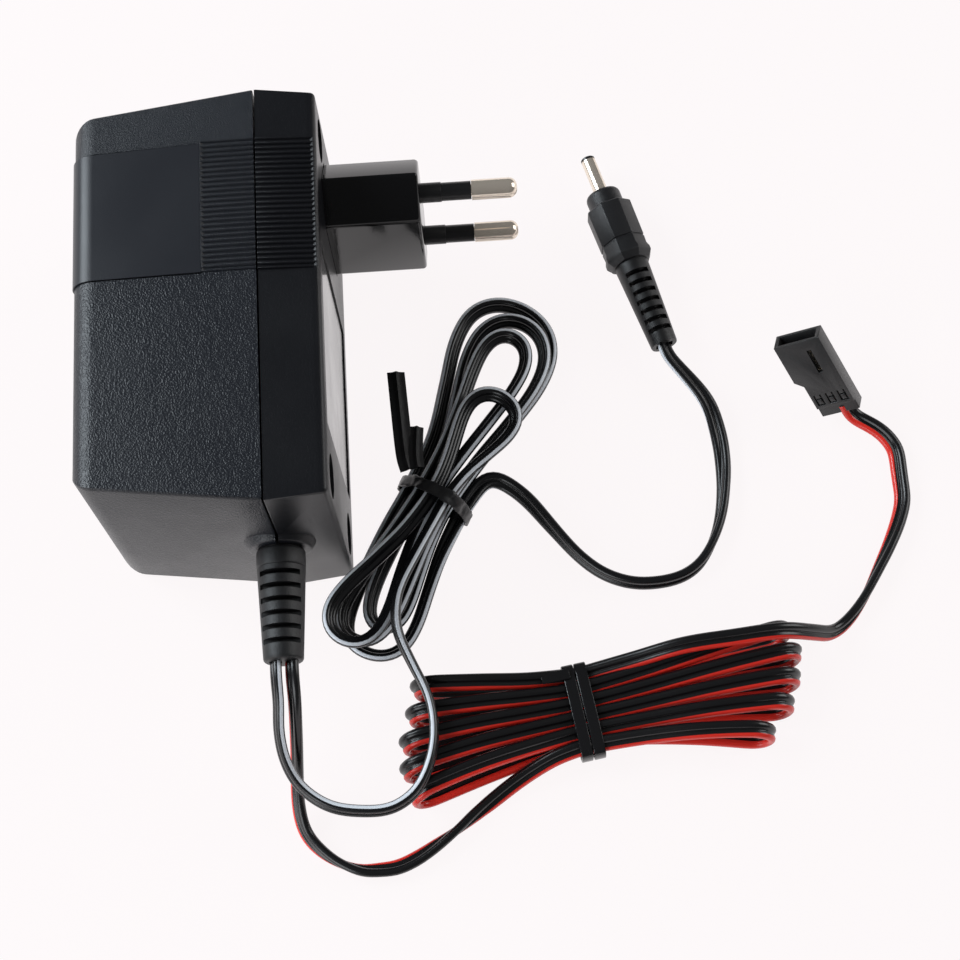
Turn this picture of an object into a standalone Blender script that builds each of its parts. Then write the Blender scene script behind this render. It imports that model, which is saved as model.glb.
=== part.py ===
"""Plug-in mains charger with two hanked output leads, lying on its side on a table.

Metres, +Z up. The origin is on the table, under the middle of the case and its plug. Inside the case frame X is
the plug axis, measured from the parting plane of the two shells, Y is the case height (leads leave at -Y) and Z
is the case width.
"""

import math

import bmesh
import bpy
import numpy as np
from mathutils import Matrix, Vector

# Fits
CLEARANCE = 0.0003
FINE_CLEARANCE = 0.0001

# Case shells
CASE_HEIGHT = 0.0825
CASE_WIDTH = 0.0538
REAR_DEPTH = 0.0348
FRONT_DEPTH = 0.0116
REAR_DRAFT = 0.0045
FRONT_DRAFT = 0.0010
WALL = 0.0022
REAR_ROUND = 0.0045
EDGE_ROUND = 0.0010

# Ribbed grip and the film wrapped round the rear shell beside it
BELT_HEIGHT = 0.0269
BELT_DROP = 0.01065
GRIP_REACH = 0.0100
RIB_COUNT = 26
RIB_DEPTH = 0.0004
FILM_THICK = 0.0004

# Screws that hold the front cover on
SCREW_END_INSET = 0.00695
SCREW_SIDE_INSET = 0.0096
SCREW_SHANK = 0.0030
SCREW_HEAD = 0.0056
SCREW_HEAD_DEEP = 0.0020
SCREW_LENGTH = 0.0140
SCREW_SLOT = 0.0009
WELL_BORE = 0.0084
WELL_DEPTH = 0.0040
POST_WALL = 0.0014
POST_LENGTH = 0.0200
POST_RIB = 0.0020

# Rating label on the wall side
LABEL_END_INSET = 0.01625
LABEL_SIDE_INSET = 0.0054
LABEL_TO_PLUG = 0.00855
LABEL_THICK = 0.0003
POCKET_MARGIN = 0.0006
POCKET_DEPTH = 0.0009

# Mains plug
PLUG_DROP = 0.01545
BLOCK_LENGTH = 0.0184
BLOCK_WIDTH = 0.0353
BLOCK_THICK = 0.0137
BLOCK_FLAT = 0.0216
BLOCK_ROUND = 0.0007
FLANGE_REACH = 0.0025
FLANGE_WIDTH = 0.0200
FLANGE_THICK = 0.0020
PIN_SPACING = 0.0186
PIN_DIAMETER = 0.0040
PIN_LENGTH = 0.0190
PIN_TIP = 0.0018
PIN_TAIL = 0.0040
ROD_DIAMETER = 0.0024
SLEEVE_LENGTH = 0.0100
SLEEVE_ROOT = 0.0042
SLEEVE_ROOT_DIAMETER = 0.0039
SLEEVE_DIAMETER = 0.0036
SLEEVE_SEAT = 0.0020

# Transformer
CORE_STACK = 0.0140
CORE_BACK = 0.0240
CORE_LOW = -0.0200
CORE_HEIGHT = 0.0340
CORE_WIDTH = 0.0410
BOBBIN_WALL = 0.0010
WINDOW_SPARE = 0.0010
TAPE_THICK = 0.0004
RAIL_WIDTH = 0.0040
RAIL_HEIGHT = 0.0180
FUSE_DIAMETER = 0.0030
FUSE_LENGTH = 0.0090

# Circuit board
BOARD_RISE = 0.01425
BOARD_THICK = 0.0016
BOARD_DEPTH = 0.0260
BOARD_BACK = 0.0220
BOARD_SIDE_GAP = 0.0032
LEDGE_THICK = 0.0015
DIODE_DIAMETER = 0.0027
DIODE_LENGTH = 0.0052
RESISTOR_DIAMETER = 0.0045
RESISTOR_LENGTH = 0.0120

# Wires inside
MAINS_WIRE = 0.0016
SECONDARY_WIRE = 0.0012

# Moulded strain relief
RELIEF_BORE = 0.0080
RELIEF_FLANGE = 0.0130
RELIEF_FLANGE_THICK = 0.0020
RELIEF_ROOT = 0.0092
RELIEF_TIP = 0.0075
RELIEF_COLLAR = 0.0035
RELIEF_LENGTH = 0.0214
RELIEF_SLOTS = 6
RELIEF_SLOT_FIRST = 0.0050
RELIEF_SLOT_PITCH = 0.0026
RELIEF_SLOT_WIDTH = 0.0010
RELIEF_WEB = 0.0036
BOSS_BASE = 0.0150
BOSS_TOP = 0.0120
BOSS_RISE = 0.0010

# Output leads. Where they and their plugs lie is measured from the lower front corner of the case
LEAD_DIAMETER = 0.0024
LEAD_SPACING = 0.0030
FLEX_WIDTH = 0.0034
LEAD_STEP = 0.0055

# DC barrel plug
DC_TIP_END = Vector((0.0531, 0.08935))
DC_CORD_END = Vector((0.0660, 0.04455))
DC_BODY = 0.0097
DC_BODY_LENGTH = 0.0137
DC_BODY_ROUND = 0.0004
DC_COLLAR = 0.0074
DC_COLLAR_LENGTH = 0.0039
DC_BOOT_LENGTH = 0.0193
DC_BOOT_ROOT = 0.0072
DC_BOOT_TIP = 0.0056
DC_BOOT_SLOTS = 7
DC_BOOT_SLOT_WIDTH = 0.0010
DC_BOOT_SLOT_PITCH = 0.0022
DC_BOOT_SLOT_FIRST = 0.0030
DC_BOOT_WEB = 0.0024
DC_BARREL = 0.0030
DC_BARREL_BORE = 0.0025
DC_BARREL_LENGTH = 0.0088
DC_BARREL_SEAT = 0.0060
DC_INSULATOR_BORE = 0.0016
DC_INSULATOR_LIP = 0.0006
DC_CONTACT_BORE = 0.0011
DC_TABLE_GAP = 0.0001

# Servo connector, standing on its rear corner as its lead holds it
SERVO_PLACE = (0.1007, 0.03075, 0.0024)
SERVO_TURN = (math.radians(61.0), math.radians(-32.0), math.radians(-1.6))
SERVO_WIDTH = 0.0097
SERVO_THICK = 0.0038
SERVO_LENGTH = 0.0203
SERVO_STEP = 0.0015
SERVO_STEP_LENGTH = 0.0105
SERVO_SIDE_WALL = 0.0009
SERVO_FACE_WALL = 0.0006
SERVO_CAVITY = 0.0090
SERVO_PITCH = 0.00254
SERVO_CHANNEL = 0.0018
SERVO_CRIMP = 0.0012
SERVO_PIN = 0.0006
SERVO_PIN_OUT = 0.0070
SERVO_LIP_DROP = 0.0006
SERVO_LIP_LENGTH = 0.0026
SERVO_SLOT = (0.0009, 0.0060)
SERVO_SLOT_SIDE = 0.0016
SERVO_SLOT_FRONT = 0.0026
SERVO_WINDOW = (0.0016, 0.0028)
SERVO_WINDOW_DEEP = 0.0004
SERVO_WINDOW_BACK = 0.0034

# Ties round the hanks
TIE_THICK = 0.0008
TIE_WIDTH = 0.0034
TIE_TAIL_LENGTH = 0.0215

# Hank of lead A: loops lying flat in three layers, drawn in at the tie
HANK_A_PLACE = (0.0158, 0.01575, 0.0)
HANK_A_TURN = math.radians(57.0)
HANK_A_PITCH = 0.00295
HANK_A_LAYER = 0.0031
# Where each pass crosses the tie: place across in pitches, and layer
HANK_A_PASSES = (
    (-1.5, 2), (-0.5, 2), (-0.5, 1), (0.5, 1), (-1.5, 1), (0.5, 0), (-1.5, 0), (1.5, 0), (-2.5, 0),
)
# Each lobe's reach from the tie, swell to the sides, lean, and how far its tip hooks over and bulbs out
HANK_A_LOBES = (
    (0.0246, -0.0116, -0.0010, 0.0008, 0.0),
    (0.0348, 0.0134, 0.0010, -0.0004, 0.0010),
    (0.0384, -0.0094, 0.0017, 0.0, -0.0024),
    (0.0332, 0.0076, -0.0007, 0.0002, 0.0023),
    (0.0422, -0.0165, 0.0042, -0.0010, 0.0),
    (0.0282, 0.0050, -0.0044, 0.0012, 0.0014),
    (0.0456, -0.0196, 0.0052, -0.0016, 0.0),
    (0.0338, 0.0070, -0.0063, 0.0035, 0.0036),
)
# Lobes that drop to the layer below: the share of the half loop after which each does so, and over which
HANK_A_DROPS = {1: (0.80, 0.17), 4: (0.42, 0.30)}

# Hank of lead B: upright folds side by side, drawn in at the tie
HANK_B_PLACE = (0.0436, -0.03045, 0.0)
HANK_B_TURN = math.radians(8.9)
HANK_B_WAIST_PITCH = 0.0028
HANK_B_RIGHT_PITCH = 0.0048
HANK_B_LEFT_PITCH = 0.0052
HANK_B_FOLD = 0.0036
HANK_B_WAIST_RISE = 0.0029
# How far each fold reaches, right end and left end in turn
HANK_B_RIGHT = (0.0345, 0.0395, 0.0420, 0.0435, 0.0425)
HANK_B_LEFT = (0.0356, 0.0362, 0.0353, 0.0330, 0.0310)
# Share of a lane that a fold moves over, right end and left end
HANK_B_SHIFTS = (-0.20, 0.25)
LOOP_POINTS = 24
LIFT_SPREAD = 0.0110

# Free stretches of the leads, chosen along the table, from the same corner; the first point lies at the strain
# relief
LEAD_A_NEAR = (
    (-0.0130, -0.02985, 0.0250), (-0.0135, -0.03445, 0.0210), (-0.0129, -0.03925, 0.0165),
    (-0.0104, -0.04365, 0.0130), (-0.0053, -0.04725, 0.0117), (0.0010, -0.04845, 0.0114),
    (0.0064, -0.04815, 0.0114), (0.0111, -0.04505, 0.0114), (0.0140, -0.03945, 0.0114),
    (0.0150, -0.03345, 0.0114), (0.0142, -0.02725, 0.0112), (0.0114, -0.02075, 0.0110),
    (0.0089, -0.01445, 0.0109), (0.0086, -0.00925, 0.0109), (0.0103, -0.00325, 0.0106),
)
LEAD_A_FAR = (
    (0.0266, 0.01815, 0.0018), (0.0292, 0.01925, 0.0014), (0.0324, 0.01755, 0.0013),
    (0.0360, 0.01405, 0.0013), (0.0403, 0.00815, 0.0013), (0.0451, 0.00195, 0.0013),
    (0.0498, -0.00215, 0.0013), (0.0550, -0.00435, 0.0013), (0.0600, -0.00475, 0.0013),
    (0.0650, -0.00395, 0.0013), (0.0688, -0.00175, 0.0013), (0.0715, 0.00185, 0.0013),
    (0.0736, 0.00635, 0.0013), (0.0750, 0.01175, 0.0013), (0.0758, 0.01925, 0.0014),
    (0.0753, 0.02625, 0.0022), (0.0732, 0.03325, 0.0036),
)
LEAD_B_NEAR = (
    (-0.0101, -0.02945, 0.0240), (-0.0108, -0.03495, 0.0165), (-0.0116, -0.03985, 0.0095),
    (-0.0121, -0.04425, 0.0048), (-0.0116, -0.04885, 0.0022), (-0.0096, -0.05245, 0.0013),
    (-0.0048, -0.05635, 0.0013), (0.0019, -0.05845, 0.0013), (0.0086, -0.05695, 0.0013),
    (0.0166, -0.05235, 0.0013), (0.0228, -0.04785, 0.0014), (0.0302, -0.04285, 0.0024),
    (0.0370, -0.03945, 0.0044),
)
LEAD_B_FAR = (
    (0.0542, -0.02165, 0.0080), (0.0637, -0.02025, 0.0112), (0.0738, -0.01945, 0.0118),
    (0.0827, -0.01865, 0.0114), (0.0892, -0.01825, 0.0070), (0.0937, -0.01745, 0.0026),
    (0.0977, -0.01445, 0.0013), (0.1012, -0.01005, 0.0013), (0.1042, -0.00505, 0.0013),
    (0.1072, 0.00015, 0.0013), (0.1098, 0.00555, 0.0013), (0.1114, 0.01075, 0.0013),
    (0.1118, 0.01575, 0.0013), (0.1108, 0.02055, 0.0014), (0.1080, 0.02435, 0.0020),
)

HALF_HEIGHT = CASE_HEIGHT / 2
HALF_WIDTH = CASE_WIDTH / 2
HALF_GAP = CLEARANCE / 2
BELT_HIGH = HALF_HEIGHT - BELT_DROP
BELT_LOW = BELT_HIGH - BELT_HEIGHT
SCREW_HEIGHT = HALF_HEIGHT - SCREW_END_INSET
SCREW_SIDE = HALF_WIDTH - SCREW_SIDE_INSET
PLUG_OFFSET = HALF_HEIGHT - PLUG_DROP
LABEL_LOW = -HALF_HEIGHT + LABEL_END_INSET
LABEL_HIGH = PLUG_OFFSET - BLOCK_THICK / 2 - LABEL_TO_PLUG
LABEL_WIDTH = CASE_WIDTH - 2 * LABEL_SIDE_INSET
BOARD_LEVEL = -HALF_HEIGHT + BOARD_RISE
BOARD_WIDTH = CASE_WIDTH - 2 * (WALL + BOARD_SIDE_GAP)
BLOCK_END = FRONT_DEPTH + BLOCK_LENGTH
OVERALL = REAR_DEPTH + BLOCK_END + PIN_LENGTH
PARTING_X = REAR_DEPTH - OVERALL / 2
LAY_X, LAY_Y = PARTING_X + FRONT_DEPTH, BOSS_RISE / 2 - HALF_HEIGHT
CORE_MIDDLE = -CORE_BACK + CORE_STACK / 2
CORE_FRONT = -CORE_BACK + CORE_STACK
# Proportions of an E and I lamination
CORE_LEG = CORE_WIDTH / 3
CORE_YOKE = CORE_WIDTH / 6
WINDOW_HEIGHT = CORE_HEIGHT - 2 * CORE_YOKE
WINDOW_LOW = CORE_LOW + CORE_YOKE
WINDOW_SIDE = CORE_WIDTH / 2 - CORE_YOKE
WINDING_THICK = WINDOW_SIDE - CORE_LEG / 2 - BOBBIN_WALL - TAPE_THICK - 3 * CLEARANCE - WINDOW_SPARE
LEAD_RADIUS = LEAD_DIAMETER / 2
TIE_LIFT = TIE_THICK + CLEARANCE

ALONG_X = (0.0, math.radians(90), 0.0)
SECTION_TO_X = (math.radians(90), 0.0, math.radians(90))
OUT_OF_BASE = (math.radians(90), 0.0, 0.0)


# Scene, collections and finishes

for old in list(bpy.data.objects):
    bpy.data.objects.remove(old, do_unlink=True)

parts = bpy.data.collections.new("plug_in_charger")
cutters = bpy.data.collections.new("cutters")
for group in (parts, cutters):
    bpy.context.scene.collection.children.link(group)


def finish(name, colour, roughness, metallic=0.0):
    mat = bpy.data.materials.new(name)
    mat.use_nodes = True
    shader = mat.node_tree.nodes["Principled BSDF"]
    shader.inputs["Base Color"].default_value = (*colour, 1.0)
    shader.inputs["Roughness"].default_value = roughness
    shader.inputs["Metallic"].default_value = metallic
    mat.diffuse_color = (*colour, 1.0)
    return mat


CASE_BLACK = finish("case_black", (0.012, 0.013, 0.016), 0.5)
PLUG_BLACK = finish("plug_black", (0.008, 0.008, 0.010), 0.22)
FILM_BLACK = finish("film_black", (0.010, 0.012, 0.018), 0.25)
LABEL_GREY = finish("label_grey", (0.05, 0.05, 0.055), 0.25)
NICKEL = finish("nickel", (0.72, 0.69, 0.64), 0.18, 1.0)
STEEL = finish("steel", (0.45, 0.45, 0.46), 0.35, 1.0)
IRON = finish("core_iron", (0.22, 0.22, 0.23), 0.5, 0.8)
NYLON = finish("bobbin_nylon", (0.75, 0.74, 0.68), 0.45)
COPPER = finish("winding_copper", (0.72, 0.32, 0.14), 0.35, 1.0)
TAPE_YELLOW = finish("tape_yellow", (0.80, 0.62, 0.08), 0.4)
BOARD_BROWN = finish("board_brown", (0.36, 0.22, 0.08), 0.5)
CERAMIC = finish("resistor_ceramic", (0.55, 0.50, 0.40), 0.6)
SOFT_BLACK = finish("soft_black", (0.014, 0.014, 0.016), 0.42)
RED = finish("wire_red", (0.75, 0.05, 0.035), 0.35)


# Building blocks


def place(name):
    frame = bpy.data.objects.new(name, None)
    parts.objects.link(frame)
    return frame


def keep(obj, mat, frame):
    """Makes the object one of the charger's pieces, in the given frame."""
    parts.objects.link(obj)
    obj.parent = frame
    obj.data.materials.clear()
    obj.data.materials.append(mat)
    obj.data.shade_smooth()
    obj.data.set_sharp_from_angle(angle=math.radians(35))
    return obj


def shape(obj, tool, operation):
    """Cuts with, or adds, a helper shape that lies in the same frame."""
    cutters.objects.link(tool)
    tool.parent = obj.parent
    tool.hide_render = True
    tool.display_type = "WIRE"
    step = obj.modifiers.new(tool.name, "BOOLEAN")
    step.operation = operation
    step.object = tool


def cut(obj, tool):
    shape(obj, tool, "DIFFERENCE")


def add(obj, tool):
    shape(obj, tool, "UNION")


def object_of(name, bm):
    mesh = bpy.data.meshes.new(name)
    bm.to_mesh(mesh)
    bm.free()
    return bpy.data.objects.new(name, mesh)


def block(name, low, high):
    low, high = Vector(low), Vector(high)
    bm = bmesh.new()
    bmesh.ops.create_cube(bm, size=1.0)
    bmesh.ops.scale(bm, vec=high - low, verts=bm.verts)
    obj = object_of(name, bm)
    obj.location = (low + high) / 2
    return obj


def blocks(name, corners):
    """Several separate blocks as one helper shape."""
    bm = bmesh.new()
    for low, high in corners:
        low, high = Vector(low), Vector(high)
        made = bmesh.ops.create_cube(bm, size=1.0)["verts"]
        bmesh.ops.scale(bm, vec=high - low, verts=made)
        bmesh.ops.translate(bm, vec=(low + high) / 2, verts=made)
    return object_of(name, bm)


def drafted(name, x_low, x_high, half_low, half_high):
    """A block along X whose half height and half width differ from end to end."""
    bm = bmesh.new()
    bmesh.ops.create_cube(bm, size=2.0)
    for vert in bm.verts:
        x, half = (x_high, half_high) if vert.co.x > 0 else (x_low, half_low)
        vert.co = (x, vert.co.y * half[0], vert.co.z * half[1])
    return object_of(name, bm)


def round_edges(obj, radius, segments, chosen):
    bm = bmesh.new()
    bm.from_mesh(obj.data)
    edges = [edge for edge in bm.edges if chosen(edge.verts[0].co, edge.verts[1].co)]
    bmesh.ops.bevel(bm, geom=edges, offset=radius, segments=segments, profile=0.5, affect="EDGES")
    bm.to_mesh(obj.data)
    bm.free()


def rod(name, radius, low, high, sides=20, end_radius=None):
    """A straight rod, or a cone with an end_radius, from one point to another."""
    low, high = Vector(low), Vector(high)
    bm = bmesh.new()
    top = radius if end_radius is None else end_radius
    depth = (high - low).length
    bmesh.ops.create_cone(bm, cap_ends=True, segments=sides, radius1=radius, radius2=top, depth=depth)
    obj = object_of(name, bm)
    obj.rotation_euler = (high - low).to_track_quat("Z", "Y").to_euler()
    obj.location = (low + high) / 2
    return obj


def turned(name, profile, sides=20, ring=False):
    """A solid of revolution about Z from (radius, height) points that run down its outer side."""
    mesh = bpy.data.meshes.new(name)
    edges = [(i, i + 1) for i in range(len(profile) - 1)]
    if ring:
        edges.append((len(profile) - 1, 0))
    mesh.from_pydata([(radius, 0.0, height) for radius, height in profile], edges, [])
    obj = bpy.data.objects.new(name, mesh)
    screw = obj.modifiers.new("Turn", "SCREW")
    screw.axis = "Z"
    screw.steps = screw.render_steps = sides
    screw.use_merge_vertices = True
    screw.merge_threshold = 1e-6
    return obj


def as_mesh(curve_object, name):
    """The evaluated curve as a closed mesh object at the same place."""
    bpy.context.scene.collection.objects.link(curve_object)
    graph = bpy.context.evaluated_depsgraph_get()
    mesh = bpy.data.meshes.new_from_object(curve_object.evaluated_get(graph))
    bm = bmesh.new()
    bm.from_mesh(mesh)
    bmesh.ops.remove_doubles(bm, verts=bm.verts, dist=1e-6)
    bmesh.ops.recalc_face_normals(bm, faces=bm.faces)
    bpy.data.objects.remove(curve_object, do_unlink=True)
    return object_of(name, bm)


def plate(name, outlines, thick):
    """Flat outlines, an outer one and any holes, with a thickness along local Z."""
    curve = bpy.data.curves.new(name + "_outline", "CURVE")
    curve.dimensions = "2D"
    curve.fill_mode = "BOTH"
    curve.extrude = thick / 2
    for outline in outlines:
        spline = curve.splines.new("POLY")
        spline.points.add(len(outline) - 1)
        for point, (x, y) in zip(spline.points, outline):
            point.co = (x, y, 0.0, 1.0)
        spline.use_cyclic_u = True
    return as_mesh(bpy.data.objects.new(name + "_outline", curve), name)


def tube(name, points, radius, sides_level=2):
    """A wire or lead along the points, with closed ends."""
    curve = bpy.data.curves.new(name, "CURVE")
    curve.dimensions = "3D"
    curve.bevel_depth = radius
    curve.bevel_resolution = sides_level
    curve.use_fill_caps = True
    spline = curve.splines.new("POLY")
    spline.points.add(len(points) - 1)
    for point, place_ in zip(spline.points, points):
        point.co = (*place_, 1.0)
    return bpy.data.objects.new(name, curve)


def keep_tube(name, points, radius, mat, frame, sides_level=2):
    obj = tube(name, points, radius, sides_level)
    parts.objects.link(obj)
    obj.parent = frame
    obj.data.materials.append(mat)
    return obj


def smooth_route(points, step):
    """Evenly spaced points on a smooth curve through the route's own points."""
    knots = np.array([tuple(point) for point in points])
    ends = np.vstack([2 * knots[0] - knots[1], knots, 2 * knots[-1] - knots[-2]])
    dense = []
    for a, b, c, d in zip(ends, ends[1:], ends[2:], ends[3:]):
        for t in np.linspace(0.0, 1.0, 24, endpoint=False):
            bend = (2 * a - 5 * b + 4 * c - d) * t**2 + (3 * b - a - 3 * c + d) * t**3
            dense.append(0.5 * (2 * b + (c - a) * t + bend))
    dense = np.array(dense + [knots[-1]])
    run = np.r_[0.0, np.cumsum(np.linalg.norm(np.diff(dense, axis=0), axis=1))]
    even = np.linspace(0.0, run[-1], max(2, round(run[-1] / step) + 1))
    return np.stack([np.interp(even, run, dense[:, axis]) for axis in range(3)], axis=1)


def rounded_box(half_x, half_y, radius, centre=(0.0, 0.0), corner_points=4):
    """The outline of a rectangle with round corners."""
    points = []
    for turn, (sx, sy) in enumerate(((1, 1), (-1, 1), (-1, -1), (1, -1))):
        for angle in np.linspace(0.0, math.pi / 2, corner_points) + turn * math.pi / 2:
            x = sx * (half_x - radius) + radius * math.cos(angle)
            y = sy * (half_y - radius) + radius * math.sin(angle)
            points.append((centre[0] + x, centre[1] + y))
    return points


# The case frame stands on the table, its width upright
case = place("case")
case.location = (PARTING_X, BOSS_RISE / 2, HALF_WIDTH)
bench = place("bench")


# Rear shell: a drafted tray, open at the parting plane, with screw posts, core rails and board ledges


def rear_half(x, inset=0.0):
    """Half height and half width of the rear shell at a depth, drawn in by inset."""
    return (HALF_HEIGHT - REAR_DRAFT * -x / REAR_DEPTH - inset, HALF_WIDTH - inset)


def front_half(x, inset=0.0):
    draft = FRONT_DRAFT * x / FRONT_DEPTH
    return (HALF_HEIGHT - draft - inset, HALF_WIDTH - draft - inset)


def screw_places():
    return [(y * SCREW_HEIGHT, z * SCREW_SIDE) for y in (1, -1) for z in (1, -1)]


def grip(name, x_low, x_high, side, z_low, z_high):
    """Grooves along X that leave ribs on one wide face, whose half width may change with the draft."""
    pitch = (BELT_HIGH - BELT_LOW) / RIB_COUNT
    corners = []
    for rib in range(RIB_COUNT):
        y = BELT_LOW + (rib + 0.25) * pitch
        corners.append(((x_low, y, -RIB_DEPTH), (x_high, y + pitch / 2, WALL)))
    comb = blocks(name, corners)
    for vert in comb.data.vertices:
        share = (vert.co.x - x_low) / (x_high - x_low)
        vert.co.z = side * (vert.co.z + z_low + (z_high - z_low) * share)
    if side < 0:
        comb.data.flip_normals()
    return comb


def film_outline(offset, end):
    """Half of a path round the rear shell, from its end on one wide face to the middle of the back."""
    radius = REAR_ROUND + offset
    centre = (-REAR_DEPTH + REAR_ROUND, HALF_WIDTH - REAR_ROUND)
    points = [(end, HALF_WIDTH + offset)]
    for angle in np.linspace(math.pi / 2, math.pi, 6):
        points.append((centre[0] + radius * math.cos(angle), centre[1] + radius * math.sin(angle)))
    return points + [(-REAR_DEPTH - offset, 0.0)]


def wrapped(name, outer, inner, end, y_low, y_high):
    """A band round three sides of the rear shell, between two offsets from its surface."""
    outside, inside = film_outline(outer, end), film_outline(inner, end)
    outline = outside + [(x, -z) for x, z in reversed(outside[:-1])]
    outline += [(x, -z) for x, z in inside[:-1]] + list(reversed(inside))
    band = plate(name, [outline], y_high - y_low)
    band.rotation_euler = OUT_OF_BASE
    band.location.y = (y_low + y_high) / 2
    return band


rear_floor = -REAR_DEPTH + WALL
rear_shell = drafted("rear_shell", -REAR_DEPTH, -HALF_GAP, rear_half(-REAR_DEPTH), rear_half(0.0))
round_edges(rear_shell, REAR_ROUND, 5, lambda a, b: a.x < rear_floor and b.x < rear_floor)
round_edges(
    rear_shell, EDGE_ROUND, 2, lambda a, b: a.y * b.y > 0 and a.z * b.z > 0 and abs(a.x - b.x) > REAR_DEPTH / 2
)
keep(rear_shell, CASE_BLACK, case)
cut(
    rear_shell,
    drafted(
        "rear_hollow", rear_floor, CLEARANCE, rear_half(rear_floor, WALL), rear_half(CLEARANCE, WALL)
    ),
)
for number, (y, z) in enumerate(screw_places(), 1):
    post_radius = SCREW_SHANK / 2 + CLEARANCE + POST_WALL
    add(rear_shell, rod(f"rear_post_{number}", post_radius, (-POST_LENGTH, y, z), (-CLEARANCE, y, z)))
    wall_side = math.copysign(rear_half(-POST_LENGTH, WALL / 2)[0], y)
    add(
        rear_shell,
        block(
            f"post_rib_{number}",
            (-POST_LENGTH + CLEARANCE, min(y, wall_side), z - POST_RIB / 2),
            (-POST_LENGTH / 2, max(y, wall_side), z + POST_RIB / 2),
        ),
    )
    screw_end = FRONT_DEPTH - WELL_DEPTH - SCREW_LENGTH - CLEARANCE
    bore = SCREW_SHANK / 2 + CLEARANCE
    cut(rear_shell, rod(f"rear_bore_{number}", bore, (screw_end, y, z), (WALL, y, z), sides=14))
rail_side = CORE_WIDTH / 2 - RAIL_WIDTH / 2
rail_low = CORE_LOW + (CORE_HEIGHT - RAIL_HEIGHT) / 2
for side in (1, -1):
    add(
        rear_shell,
        block(
            f"core_rail_{side}",
            (rear_floor - WALL / 2, rail_low, side * rail_side - RAIL_WIDTH / 2),
            (-CORE_BACK - CLEARANCE, rail_low + RAIL_HEIGHT, side * rail_side + RAIL_WIDTH / 2),
        ),
    )
    ledge_top = BOARD_LEVEL - BOARD_THICK / 2 - CLEARANCE
    ledge_inner = BOARD_WIDTH / 2 - LEDGE_THICK
    ledge_outer = HALF_WIDTH - WALL / 2
    add(
        rear_shell,
        block(
            f"board_ledge_{side}",
            (-BOARD_BACK, ledge_top - LEDGE_THICK, min(side * ledge_inner, side * ledge_outer)),
            (-WALL, ledge_top, max(side * ledge_inner, side * ledge_outer)),
        ),
    )
    cut(rear_shell, grip(f"rear_grip_{side}", -GRIP_REACH, WALL, side, HALF_WIDTH, HALF_WIDTH))


# Front cover: a shallow drafted lid that carries the plug, the screw wells and the label pocket
front_inner = FRONT_DEPTH - WALL
front_cover = drafted("front_cover", HALF_GAP, FRONT_DEPTH, front_half(0.0), front_half(FRONT_DEPTH))
round_edges(front_cover, EDGE_ROUND, 2, lambda a, b: a.x > HALF_GAP * 2 or b.x > HALF_GAP * 2)
keep(front_cover, CASE_BLACK, case)
cut(
    front_cover,
    drafted("front_hollow", -CLEARANCE, front_inner, front_half(0.0, WALL), front_half(front_inner, WALL)),
)
well_outer = WELL_BORE / 2 + POST_WALL
for number, (y, z) in enumerate(screw_places(), 1):
    add(front_cover, rod(f"front_post_{number}", well_outer, (CLEARANCE, y, z), (front_inner + WALL / 2, y, z), 24))
    well_floor = FRONT_DEPTH - WELL_DEPTH
    cut(front_cover, rod(f"well_{number}", WELL_BORE / 2, (well_floor, y, z), (FRONT_DEPTH + WALL, y, z), 24))
    bore = SCREW_SHANK / 2 + CLEARANCE
    cut(front_cover, rod(f"front_bore_{number}", bore, (-WALL, y, z), (FRONT_DEPTH, y, z), 14))
for side in (1, -1):
    clamp_low = CORE_LOW + (CORE_HEIGHT - RAIL_HEIGHT) / 2
    add(
        front_cover,
        block(
            f"core_clamp_{side}",
            (CORE_FRONT + CLEARANCE, clamp_low, side * rail_side - RAIL_WIDTH / 2),
            (front_inner + WALL / 2, clamp_low + RAIL_HEIGHT, side * rail_side + RAIL_WIDTH / 2),
        ),
    )
    grip_end = FRONT_DEPTH - EDGE_ROUND
    cut(
        front_cover,
        grip(f"front_grip_{side}", -WALL, grip_end, side, front_half(-WALL)[1], front_half(grip_end)[1]),
    )


def block_outline(grow=0.0):
    """Section of the plug block, across the case width and height, with 45 degree sides."""
    flat, thick, wide = BLOCK_FLAT / 2 + grow, BLOCK_THICK / 2 + grow, BLOCK_WIDTH / 2 + grow
    right = [(thick, flat), (0.0, wide), (-thick, flat)]
    return [(PLUG_OFFSET + y, z) for y, z in right + [(-y, -z) for y, z in right]]


def section_plate(name, outlines, x_low, x_high):
    """A plate with its outlines in Y and Z, between two depths."""
    obj = plate(name, outlines, x_high - x_low)
    obj.rotation_euler = SECTION_TO_X
    obj.location.x = (x_low + x_high) / 2
    return obj


cut(front_cover, section_plate("plug_opening", [block_outline(CLEARANCE)], front_inner - WALL, FRONT_DEPTH + WALL))
pocket_wide = LABEL_WIDTH / 2 + POCKET_MARGIN
cut(
    front_cover,
    block(
        "label_pocket",
        (FRONT_DEPTH - POCKET_DEPTH, LABEL_LOW - POCKET_MARGIN, -pocket_wide),
        (FRONT_DEPTH + WALL, LABEL_HIGH + POCKET_MARGIN, pocket_wide),
    ),
)

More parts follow.
